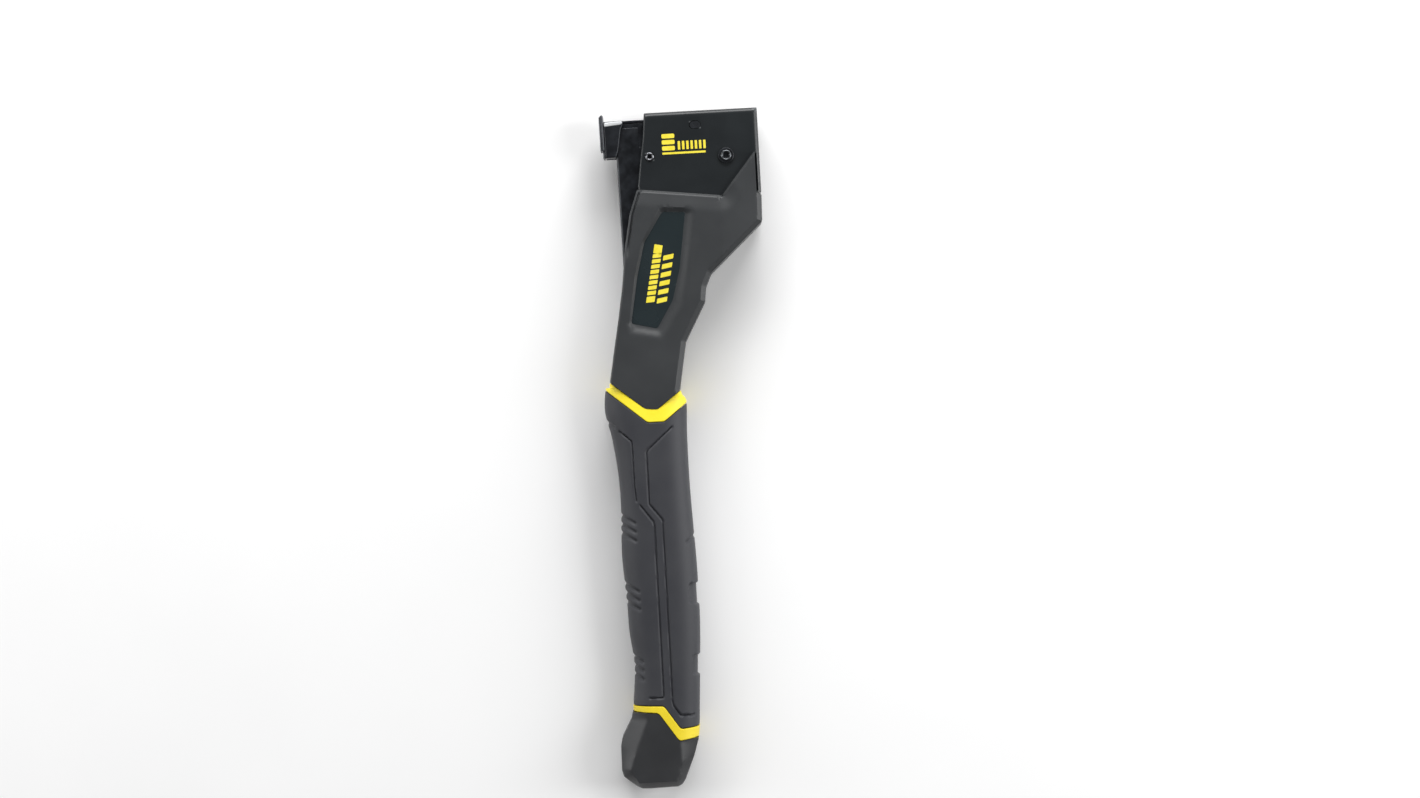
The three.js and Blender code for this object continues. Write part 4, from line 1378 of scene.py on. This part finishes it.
    def _face(self, points: Array, label: Array, recess: Array, holes: Points) -> Array:
        """The outer face's height at each point.

        It is the full thickness less a chamfer on the right edge, a shoulder and a double rim along
        the magazine's slot, a bevel and a slope below the head, a facet that falls back to the right
        of a crease, the label's recess with its sloping border, and the screw holes.

        Args:
            points: where the height is wanted.
            label: the label's outline.
            recess: the outline of the recess that it lies in.
            holes: the middles of the screw holes.

        Returns:
            One height for each point.
        """
        x, y = points.T
        edges = (self.left_edge, self.right_edge, self.top_edge)
        left, right, top = (np.array(edge, float) for edge in edges)
        beside_left, beside_right = distance(points, left), distance(points, right)
        below_head, below_slant = distance(points, top[2:]), distance(points, top[1:3])
        z = self.face - chamfer(beside_right, *self.right_chamfer)
        z -= shoulder(beside_left, *self.left_shoulder)
        z -= chamfer(below_head, *self.head_bevel) + chamfer(below_head, *self.head_slope)
        z -= chamfer(below_slant, *self.slant_bevel)
        z -= chamfer(below_slant, *self.slant_slope) * faded(x, *self.slant_start)
        (lip_width, lip_depth), (groove_place, groove_depth) = self.lip, self.lip_groove
        lip = lip_depth * eased((lip_width - beside_left) / 0.7)
        groove = groove_depth * np.exp(-(((beside_left - groove_place) / 0.3) ** 2))
        z -= (lip + groove) * faded(y, *self.lip_start)
        crease = np.interp(y, *np.array(self.crease).T)
        z -= self.facet_fall * np.maximum(x - crease, 0) * faded(y, *self.facet_start)
        to_recess, to_label = distance(points, recess, True), distance(points, label, True)
        in_label = inside(points, grown(label, 0.02))
        slope = to_recess / np.maximum(to_recess + to_label, 1e-6)
        slope = np.where(in_label, 1, slope) * (inside(points, recess) | in_label)
        z -= self.recess_depth * eased(slope)
        for place in holes:
            away = np.hypot(*(points - np.array(place)).T)
            rim = shoulder(away - self.screw_hole, 0.5, 0.4) * (away < 2 * self.screw_hole)
            z = np.where(away < self.screw_hole + 0.02, self.face - self.screw_depth, z - rim)
        return z

    def _inner(self, points: Array) -> Array:
        """The inner side of a half: the parting plane, or the wall of a room.

        Args:
            points: where the height is wanted.

        Returns:
            One height for each point.
        """
        height = np.full(len(points), self.parting)
        height = np.where(inside(points, self._magazine_room()), self.magazine_room_height, height)
        return np.where(inside(points, np.array(self.plate_room, float)), self.plate_room_height, height)

    def _panel(self, side: Side) -> None:
        """A gloss panel and the generic print on it.

        Args:
            side: which half of the body it lies in.
        """
        face = self.face - self.label_drop
        outline = stepped(rounded(self.label, self.corner), 1.0)
        plan = Plan(outline, rings=(0.1, 0.25, 0.45, 0.7, 1.0), pitch=2.5)
        edge = distance(plan.points, plan.outline, True)
        top = face - shoulder(edge, 0.25, 0.12)
        panel = side.of(plan.solid(top, np.full(len(top), face - self.label_thickness)))
        ink = side.of(Print(self._graphic(), face).shape())
        node = f"label_panel_{side.label}"
        piece(f"gloss_panel_{side.label}", panel, LABEL_ACRYLIC, Body.TOOL, [node])
        piece(f"panel_print_{side.label}", ink, PRINT_INK, Body.TOOL)

    def _graphic(self) -> list[Array]:
        """A solid bar with a row of slanted blocks beside it, along the panel.

        A corner that is u across the panel and v along it, with the panel leaning by k, is at
        (u + k v, v - k u) from the print's foot.

        Returns:
            The blocks' outlines.
        """
        lean, foot_x, foot_y = 0.2, -2.9, 232.8

        def block(u0: float, u1: float, v0: float, v1: float, slant: float) -> Array:
            """A four-sided block, u across the panel and v along it, its ends slanted."""
            u, v = np.array([(u0, v0), (u1, v0 + slant), (u1, v1 + slant), (u0, v1)]).T
            return rounded(np.stack([foot_x + u + v * lean, foot_y + v - u * lean], axis=1), 0.35, 3)

        bar, row = (0, 4.4), (5.6, 10.8)
        bars = [block(*bar, 0, 3.2, 1.2), block(*bar, 26.6, 31.4, 0)]
        bars += [block(*bar, v, v + 2.1, 1.2) for v in 4.0 + 2.84 * np.arange(8)]
        return bars + [block(*row, v, v + 2.6, 2.0) for v in 0.4 + 4.6 * np.arange(6)]

    def _screw(self, number: int, place: tuple[float, float]) -> None:
        """A pan-headed screw at the bottom of its hole in the right half.

        Args:
            number: the screw's number in the frame.
            place: its middle in the plan.
        """
        node = f"shell_screw_{number}"
        vertices, faces = mirrored(*screw(2.5, 1.5, 1.3))
        vertices = vertices + [*place, extent(node)[0][2]]
        piece(f"casing_screw_{number}", (vertices, faces), ZINC_PLATE, Body.TOOL, [node])


@dataclass
class Print:
    """Ink on a flat face: outlines raised by the film's thickness."""

    outlines: Sequence[Array]
    face: float
    film: float = 0.05

    def shape(self) -> Shape:
        """The film over every outline, its foot sunk a little into the face.

        Returns:
            The vertices and faces.
        """
        bodies = []
        for outline in self.outlines:
            plan = Plan(outline, pitch=3.0, step=2.0)
            level = np.full(len(plan.points), self.face)
            bodies.append(plan.solid(level + self.film, level - self.film))
        return joined(*bodies)


def screw(head: float, recess: float, height: float, rings: int = 40) -> Shape:
    """A screw head with a cross recess, its top at height 0 and its axis along Z.

    The head is a polar grid. Its height is that of a low dome, -0.4 h (r/R)^4, less the recess,
    0.6 h, where |x| or |y| is under the cross's half width and the radius under its reach, with
    steep but rounded flanks. Below the head is a short shank.

    Args:
        head: the head's radius in millimetres.
        recess: how far the cross reaches from the middle.
        height: the head's height.
        rings: rings of points from the middle to the rim.

    Returns:
        The vertices and faces.
    """
    turns, half_width, slope = 96, 0.62, 0.22
    r = np.linspace(0, head, rings)[:, None]
    a = np.linspace(0, 2 * math.pi, turns, endpoint=False)[None]
    x, y = r * np.cos(a), r * np.sin(a)
    arm = np.minimum(np.abs(x), np.abs(y))
    flank = eased((half_width - arm) / slope) * eased((recess - np.hypot(x, y)) / 0.35)
    z = -0.4 * height * (r / head) ** 4 - 0.595 * height * flank
    top = np.stack([x, y, np.broadcast_to(z, x.shape)], axis=-1)
    below = [(head, -height), (head * 0.6, -height), (head * 0.6, -height * 3), (0.0, -height * 3)]
    reach, depth = np.array(below).T[:, :, None]
    sides = np.stack(
        [reach * np.cos(a), reach * np.sin(a), np.broadcast_to(depth, (len(below), turns))], axis=-1
    )
    grid = np.concatenate([top, sides])
    return grid.reshape(-1, 3), quads(len(grid), turns, False, True)


@dataclass
class Head:
    """The folded steel frame, its fasteners and the print on its plates."""

    fold: float = 2.4
    plate: float = 2.0
    back_height: float = 46.3
    hole_gap: float = 0.3
    shank: float = 2.5
    rivet: float = 2.35
    rivet_roll: float = 0.57
    tenon: tuple[float, float] = (28.6, 7.8)
    tenon_size: tuple[float, float] = (6.5, 4.6)
    screw_hole: float = 3.7
    face: float = field(init=False)
    width: float = field(init=False)
    reach: float = field(init=False)

    def build(self) -> None:
        """Makes the frame, the print, the stop rivets and the clamp bolt."""
        low, high = extent("head_frame")
        self.face, self.width, self.reach = high[2], high[0], high[1]
        self._frame()
        self._print()
        self._rivets()
        self._bolt()
        refined("clamp_nut", ZINC_PLATE, Body.TOOL, 0.5)
        refined("clamp_spacer", STRIP_STEEL, Body.TOOL, 0.2)

    def _outline(self) -> Array:
        """The plates' outline from the top left, anticlockwise, with heights down from the top."""
        top, right = self.reach, self.width
        return rounded([
            (1.3, top), (0, top - 13.6), (-2, top - 25.6), (-3.9, top - 39.6), (-1.5, top - 52),
            (4, top - 72), (right - 20.6, top - 72), (right - 7.6, top - 62), (right - 3, top - 49),
            (right - 2, top - 46.1), (right, top - 46.1), (right, top),
        ], 0.6, 4)

    def _centre(self, node: str) -> tuple[float, float]:
        """The middle of a node in the plan."""
        low, high = extent(node)
        return (low[0] + high[0]) / 2, (low[1] + high[1]) / 2

    def _frame(self) -> None:
        """The frame: a plate folded round the top and the back, in one skin that gets its wall.

        The plates are level, and drop to the folds as a quarter of a circle. Only the folds have
        a wall between the two sides, so that the frame is open to the left and below. The plates
        have holes for the bolt, the stop rivet, the tenon and a screw, and a slot along the back.
        """
        right, top_edge = self.width, self.reach
        slot = [
            (right - 3.1, top_edge - 45.4), (right - 1.4, top_edge - 45.4),
            (right - 1.4, top_edge - 24.3), (right - 3.1, top_edge - 26.0),
        ]
        holes = (
            circle(self._centre("clamp_bolt"), self.shank + self.hole_gap),
            circle(self._centre("stop_rivet_left"), self.rivet + self.hole_gap, 32),
            oval((self.tenon[0], top_edge - self.tenon[1]), *self.tenon_size),
            circle((right - 11.6, top_edge - 54), self.screw_hole, 24),
            stepped(rounded(slot, 0.8), 2),
        )
        rings = [self.fold * (1 - math.cos(a)) for a in np.linspace(0.3, math.pi / 2, 7)]
        beside = [grown(hole, by) for hole in holes[:4] for by in (0.12, 0.35, 0.8, 1.5)]
        plan = Plan(self._outline(), holes=holes, lines=beside, rings=rings, pitch=2.2, step=1.5)
        x, y = plan.points.T
        to_back = np.where(y > top_edge - self.back_height, right - x, np.inf)
        to_fold = np.minimum(top_edge - y, to_back)
        t = np.clip(1 - to_fold / self.fold, 0, 1)
        top = self.face - self.fold * (1 - np.sqrt(1 - t * t))
        top -= shoulder(distance(plan.points, self._outline()[2:20]), 1.3, 1.0)

        def is_open(middle: Array) -> Array:
            """Everywhere but the folds at the top and the back.

            Args:
                middle: the middles of the rim's edges.

            Returns:
                True where no wall is built.
            """
            at_top = middle[:, 1] > top_edge - 0.05
            at_back = middle[:, 0] > right - 0.05
            return ~(at_top | at_back)

        shape = plan.solid(top, -top, is_open)
        made = piece("folded_frame", shape, FRAME_ENAMEL, Body.TOOL, ["head_frame"], Smoothing.CRISP)
        thicken(made, self.plate)

    def _print(self) -> None:
        """A pictogram on each plate: three sticks in a stack, one stick of staples, underlined."""

        def box(x: float, y: float, width: float, height: float, radius: float) -> Array:
            """A rounded rectangle from its lower left corner."""
            right, top = x + width, y + height
            return rounded([(x, y), (right, y), (right, top), (x, top)], radius, 4)

        marks = [box(10.2, y, 7.0, 2.4, 0.8) for y in 314.6 + 3.3 * np.arange(3)]
        marks += [box(x, 314.8, 1.3, 4.6, 0.2) for x in 18.8 + 2.3 * np.arange(7)]
        marks.append(box(10.2, 312.5, 23.5, 1.1, 0.3))
        for side in Side:
            shape = side.of(Print(marks, self.face).shape())
            piece(f"frame_print_{side.label}", shape, PRINT_INK, Body.TOOL)

    def _rivets(self) -> None:
        """The hollow stop rivets, each with a rolled rim outside the plate.

        The roll is half a circle of radius q, from the rivet's outside to its bore.
        """
        bore, roll = 1.2, self.rivet_roll
        turn = np.linspace(0, math.pi, 13)
        for side in Side:
            node = f"stop_rivet_{side.label}"
            low, high = extent(node)
            near, far = sorted(abs(z) for z in (low[2], high[2]))
            rim = np.c_[self.rivet - roll + roll * np.cos(turn), far - roll + roll * np.sin(turn)]
            profile = [(bore, near), (self.rivet, near), *rim, (bore, far - 1.0)]
            vertices, faces = turned(profile, 48, closed=True)
            shape = side.of((vertices + [*self._centre(node), 0], faces))
            piece(f"hollow_{node}", shape, ZINC_PLATE, Body.TOOL, [node], Smoothing.SOFT)

    def _bolt(self) -> None:
        """The clamp bolt: a flanged head with a bright ring round its socket, and its shank.

        The flange's profile is given down from its top. The ring's is an ellipse.
        """
        low, high = extent("clamp_bolt")
        top, foot, shank = high[2], low[2], self.shank
        flange = [
            (shank, 2), (4.1, 2), (4.25, 1.85), (4.25, 1.2), (4.1, 0.85), (3.7, 0.7), (3.0, 0.75),
            (2.6, 0.8), (1.6, 0.6), (1.4, 0.75), (1.35, 1.9), (0, 1.95),
        ]
        profile = [(0, foot), (shank - 0.3, foot), (shank, foot + 0.4), *((r, top - z) for r, z in flange)]
        vertices, faces = turned(profile, 72)
        place = [*self._centre("clamp_bolt"), 0]
        piece("flanged_bolt", (vertices + place, faces), OXIDE_STEEL, Body.TOOL, ["clamp_bolt"])
        ring = circle((0.0, 0.0), 1.0, 20) * (0.55, 0.5) + (2.35, top - 0.55)
        vertices, faces = turned(ring, 72, closed=True)
        piece("bolt_ring", (vertices + place, faces), STRIP_STEEL, Body.TOOL, (), Smoothing.SOFT)


@dataclass
class Works:
    """What is inside the head: the driver, the return spring, its seats and the bumper."""

    wire: float = 0.8
    turns: float = 7.5
    turn_points: int = 26
    closed_pitch: float = 0.35
    squeezed: float = 0.41

    def build(self) -> None:
        """Makes the spring and finishes the other pieces."""
        refined("driver_block", OXIDE_STEEL, Body.TOOL)
        refined("driver_blade", STRIP_STEEL, Body.TOOL, 0.12)
        for number in (1, 2):
            refined(f"driver_rivet_{number}", ZINC_PLATE, Body.TOOL, 0.15)
        refined("spring_seat", CASING_NYLON, Body.TOOL, 0.3)
        refined("strike_bumper", BLACK_RUBBER, Body.TOOL, 0.3)
        refined("spring_cup", STRIP_STEEL, Body.MAGAZINE, 0.2)
        for side in Side:
            refined(f"pivot_pin_{side.label}", ZINC_PLATE, Body.TOOL, 0.3)
            refined(f"pivot_bush_{side.label}", NATURAL_NYLON, Body.TOOL, 0.3)
        self._spring()

    def _spring(self) -> None:
        """The return spring.

        Its middle line is a helix, (x, R cos a, R sin a), whose pitch closes up at both ends.
        """
        low, high = extent("return_spring")
        radius = (high[1] - low[1]) / 2 - self.wire
        t = np.linspace(0, 1, int(self.turns * self.turn_points))
        pitch = eased((t - 0.06) / 0.1) * eased((0.94 - t) / 0.1) + self.closed_pitch
        along = np.r_[0, np.cumsum(pitch[1:])] / pitch[1:].sum()
        angle = 2 * math.pi * self.turns * t
        span = high[0] - low[0] - 2 * self.wire
        path = np.stack([
            low[0] + self.wire + span * along,
            (low[1] + high[1]) / 2 + radius * np.cos(angle),
            radius * np.sin(angle),
        ], axis=1)
        shape = tube(path, self.wire, 12)
        made = piece(
            "coiled_return_spring", shape, ZINC_PLATE, Body.TOOL, ["return_spring"], Smoothing.SOFT
        )
        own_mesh(made)


@dataclass
class Magazine:
    """The formed steel magazine, its nose, and the rail that carries the staples."""

    bend: float = 1.3
    web_edge: float = -6.0
    land: float = 0.35
    land_outline: Points = ((-11.6, 329.6), (-2.6, 330.3), (-1.7, 331.0), (-1.9, 332.2), (-11.6, 331.9))
    tab_outline: Points = (
        (6.3, 300), (9.4, 304), (9.6, 330.7), (-5.4, 330.7), (-5.4, 328.1), (6.3, 328.1),
    )
    tab_heights: tuple[float, float] = (5.55, 6.65)
    spring_turns: int = 190
    spring_wire: float = 0.3
    spring_gap: float = 1.0

    def build(self) -> None:
        """Makes the channel and finishes the nose, the rail and the follower."""
        # The web's bends are painted light grey: a painted highlight along their rounded edges.
        bend = Bend(self._on_web, self.bend, BEND_HIGHLIGHT_STEEL)
        refined("magazine_channel", OXIDE_STEEL, Body.MAGAZINE, 0.2, bend)
        self._tabs()
        refined("magazine_cover", STRIP_STEEL, Body.MAGAZINE, 0.15)
        refined("nose_block", OXIDE_STEEL, Body.MAGAZINE, 0.3)
        self._lands()
        refined("nose_guide", STRIP_STEEL, Body.MAGAZINE, 0.2)
        refined("nose_shoe", OXIDE_STEEL, Body.MAGAZINE, 0.35)
        for number in (1, 2):
            refined(f"nose_screw_{number}", ZINC_PLATE, Body.MAGAZINE, 0.15)
        refined("staple_rail", STRIP_STEEL, Body.RAIL, 0.25)
        refined("tail_pin", ZINC_PLATE, Body.RAIL, 0.3)
        refined("rail_roller", ZINC_PLATE, Body.RAIL, 0.3)
        refined("roller_pin", ZINC_PLATE, Body.RAIL, 0.2)
        refined("follower", OXIDE_STEEL, Body.FOLLOWER, 0.3)
        self._follower_spring()

    def _on_web(self, middle: Array) -> bool:
        """Whether a point is on one of the two long outer edges of the channel's web.

        Args:
            middle: X, Y and Z of the point in the tool's plan.

        Returns:
            True within 0.2 mm of the web's outer line, where the height is that of an edge.
        """
        edge, _ = leaning(REST_LEAN, self.web_edge, middle[1] / math.cos(math.radians(REST_LEAN)))
        return abs(middle[0] - edge) < 0.2 and abs(middle[2]) > 6.5

    def _leaned(self, outline: Points, radius: float) -> Array:
        """An outline from across and along the magazine, turned to its lean and rounded."""
        u, v = np.array(outline, float).T
        return rounded(np.stack(leaning(REST_LEAN, u, v), axis=1), radius, 4)

    def _lands(self) -> None:
        """Light lands along the tops of the nose block's cheeks, each with a domed face: a painted
        highlight on the ledge.
        """
        plan = Plan(self._leaned(self.land_outline, 0.6), pitch=0.6, step=0.5, rings=(0.15, 0.35, 0.6))
        edge = distance(plan.points, plan.outline, True)
        high = extent("nose_block")[1][2]
        top = high + self.land - shoulder(edge, 0.5, 0.4)
        shape = plan.solid(top, np.full(len(top), high - 0.4))
        both = joined(shape, mirrored(*shape))
        # The lands are painted light: a painted highlight on the ledge.
        piece("nose_lands", both, LEDGE_HIGHLIGHT_STEEL, Body.MAGAZINE, (), Smoothing.SOFT)

    def _tabs(self) -> None:
        """The steps in the channel's sides that reach in behind the head frame's plates."""
        plan = Plan(self._leaned(self.tab_outline, 0.5), pitch=3, step=2.0, rings=(0.15, 0.3))
        edge = distance(plan.points, plan.outline, True)
        low, high = self.tab_heights
        top = high - shoulder(edge, 0.3, 0.25)
        shape = plan.solid(top, np.full(len(top), low))
        piece("channel_sides", joined(shape, mirrored(*shape)), OXIDE_STEEL, Body.MAGAZINE)

    def _follower_spring(self) -> None:
        """The long thin spring in the rail: a close helix along its length.

        With turn a, its middle line is (R cos a, v, R sin a), turned to the magazine's lean.
        """
        low, high = extent("follower_spring")
        middle = (low + high) / 2
        radius = (high[2] - low[2]) / 2 - self.spring_wire
        long = high[1] - low[1] - 2 * self.spring_gap
        t = np.linspace(0, 1, self.spring_turns * 10)
        turn = 2 * math.pi * self.spring_turns * t
        x, y = leaning(REST_LEAN, radius * np.cos(turn), long * (t - 0.5))
        path = np.stack([middle[0] - PIVOT_X + x, middle[1] + y, radius * np.sin(turn)], axis=1)
        shape = tube(path, self.spring_wire, 6)
        piece(
            "coiled_follower_spring", shape, ZINC_PLATE, Body.RAIL, ["follower_spring"], Smoothing.SOFT
        )


@dataclass
class Cap:
    """The faceted butt cap that pulls out with the staple rail."""

    outline: Points = (
        (-21.6, 22), (-23, 8), (-28.6, -2), (-29.4, -6), (-29.6, -19), (-28.6, -22.6), (-22, -28),
        (-19, -29.5), (-14, -29.7), (0.5, -29.4), (3, -28), (4.6, -25.6), (10, -13), (12.8, -4),
        (14.5, 8),
    )
    facet: Points = (
        (-17, 22), (-14, 8), (-25, -19), (-20.5, -26.3), (0.4, -26.3), (3.6, -15), (3, -5), (6.5, 8),
    )
    edge_half: float = 12.6
    wall: float = 2.3
    end: tuple[float, float] = (12.75, -22.1)
    bore: float = 2.9

    def build(self) -> None:
        """Makes the cap and its screw, and finishes what it carries."""
        self._cap()
        self._screw()
        refined("cap_core", BLACK_RUBBER, Body.CAP, 0.3)
        for side in Side:
            refined(f"cap_latch_{side.label}", STRIP_STEEL, Body.CAP, 0.12)

    def _rim(self, x: Array) -> Array:
        """The height of the cap's open end."""
        return BAND_FOOT(x) - 0.02

    def _cap(self) -> None:
        """The cap's skin, which gets its wall, and the hole for its screw.

        Between the outline and the flat facet, the height goes from that of the edge to that of the
        facet in proportion to the distances to the two, which makes flat slopes with ridges.
        """
        half = extent("butt_cap")[1][2]
        sides, facet = np.array(self.outline, float), np.array(self.facet, float)
        across = np.linspace(*self.end, 40)
        end = np.stack([across, self._rim(across)], axis=1)
        loop = np.vstack([rounded(self.outline, 0.7, 4)[3:-4], end])
        loop = loop[loop[:, 1] <= self._rim(loop[:, 0]) + 1e-6]
        plan = Plan(loop, rings=(0.1, 0.25, 0.5, 0.8, 1.2), pitch=1.4, step=1.0)
        to_side = distance(plan.points, sides)
        to_facet = np.where(inside(plan.points, facet), 0, distance(plan.points, facet, True))
        share = to_side / np.maximum(to_side + to_facet, 1e-6)
        top = self.edge_half + (half - self.edge_half) * share - shoulder(to_side, 0.9, 0.8)

        def is_open(middle: Array) -> Array:
            """The end that meets the handle."""
            return np.abs(middle[:, 1] - self._rim(middle[:, 0])) < 0.06

        shape = plan.solid(top, -top, is_open)
        made = piece("faceted_cap", shape, CAP_MOULDING, Body.CAP, ["butt_cap"])
        thicken(made, self.wall)
        self._bore(made)

    def _bore(self, cap: bpy.types.Object) -> None:
        """Cuts the hole for the cap's screw through its end.

        Args:
            cap: the piece that is cut.
        """
        low, high = extent("cap_screw")
        vertices, faces = turned([(0, -6), (self.bore, -6), (self.bore, 3), (0, 3)], 40)
        vertices = vertices[:, [0, 2, 1]] + [(low[0] + high[0]) / 2, low[1], 0]
        drill = meshed("bore", (vertices, faces[:, ::-1]))
        cut = cap.modifiers.new("bore", "BOOLEAN")
        cut.object = drill
        cut.solver = "EXACT"
        apply_modifiers(cap)
        bpy.data.objects.remove(drill)
        soften(cap, Smoothing.CRISP)

    def _screw(self) -> None:
        """The cap's screw, its head at the bottom of its hole."""
        low, high = extent("cap_screw")
        vertices, faces = screw(2.6, 1.5, 0.8)
        vertices = vertices[:, [0, 2, 1]] * [1, -1, 1]
        vertices = vertices + [(low[0] + high[0]) / 2, low[1], (low[2] + high[2]) / 2]
        piece("cap_end_screw", (vertices, faces), ZINC_PLATE, Body.CAP, ["cap_screw"])


# ---------------------------------------------------------------- stage


@dataclass(frozen=True)
class Lamp:
    """A soft area light that faces a point of the tool."""

    name: str
    place: tuple[float, float, float]
    size: tuple[float, float]
    watts: float

    def hang(self, target: Vector) -> None:
        """Puts the light in its place.

        Args:
            target: the point that it faces, in metres.
        """
        data = bpy.data.lights.new(self.name, "AREA")
        data.shape = "RECTANGLE"
        data.size, data.size_y = self.size
        data.energy = self.watts
        made = linked(self.name, data)
        made.location = self.place
        made.rotation_euler = (target - Vector(self.place)).to_track_quat("-Z", "Y").to_euler()


@dataclass
class Stage:
    """The floor, the light and the camera."""

    distance: float = 1.8
    view_width: float = 0.7739
    turn: float = 3.1
    sensor: float = 36.0
    aim: tuple[float, float] = (0.0123, 0.0260)
    floor_half: float = 4.0
    surround: float = 0.18
    lamps: Sequence[Lamp] = (
        Lamp("top_softbox", (0.1, 1.6, 0.9), (1.7, 0.8), 42.0),
        Lamp("right_softbox", (1.45, 0.1, 0.85), (0.7, 1.8), 22.0),
        Lamp("left_softbox", (-1.5, 0.2, 0.7), (0.6, 1.6), 11.0),
    )

    def build(self) -> None:
        """Makes the stage."""
        self._floor()
        self._world()
        self._camera()
        for lamp in self.lamps:
            lamp.hang(Vector((0.0, 0.0, 0.02)))

    def _floor(self) -> None:
        """A plain pale floor."""
        half = self.floor_half
        mesh = bpy.data.meshes.new("floor")
        corners = [(-half, -half, 0), (half, -half, 0), (half, half, 0), (-half, half, 0)]
        mesh.from_pydata(corners, [], [(0, 1, 2, 3)])
        floor = linked("floor", mesh)
        dress(floor, PALE_PAPER)

    def _world(self) -> None:
        """An even pale surround."""
        world = bpy.data.worlds.new("surround")
        world.use_nodes = True
        background = world.node_tree.nodes["Background"]
        background.inputs["Color"].default_value = (1, 1, 1, 1)
        background.inputs["Strength"].default_value = self.surround
        bpy.context.scene.world = world

    def _camera(self) -> None:
        """A camera that looks straight down, turned a little so that the head leans to the left."""
        angle = math.radians(self.turn)
        right = Vector((math.cos(angle), -math.sin(angle), 0))
        up = Vector((math.sin(angle), math.cos(angle), 0))
        data = bpy.data.cameras.new("camera")
        data.sensor_width = self.sensor
        data.lens = self.sensor * self.distance / self.view_width
        camera = linked("camera", data)
        axes = Matrix((right, up, Vector((0, 0, 1)))).transposed()
        high = self.distance + ORIGIN[2] * MM
        camera.matrix_world = Matrix.Translation((*self.aim, high)) @ axes.to_4x4()
        bpy.context.scene.camera = camera


def dress_rest() -> None:
    """Plates the CAD nodes that nothing replaces: the two casing screws under the grip."""
    shown = {name: node for name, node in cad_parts.items() if not node.hide_render}
    for name, node in shown.items():
        for place in node.material_slots:
            place.link = "OBJECT"
            place.material = ZINC_PLATE.material()
        LOG.info("%s: the frame's own shape, in %s", name, ZINC_PLATE.name)


def main() -> None:
    """Builds the stage and every sub-assembly."""
    logging.basicConfig(level=logging.INFO, format="%(message)s")
    bpy.context.scene.view_settings.view_transform = "Standard"
    Stage().build()
    handle = Handle()
    for assembly in (Head(), Casing(), Grip(handle), Works(), Magazine(), Cap()):
        assembly.build()
    dress_rest()


if __name__ == "__main__":
    main()
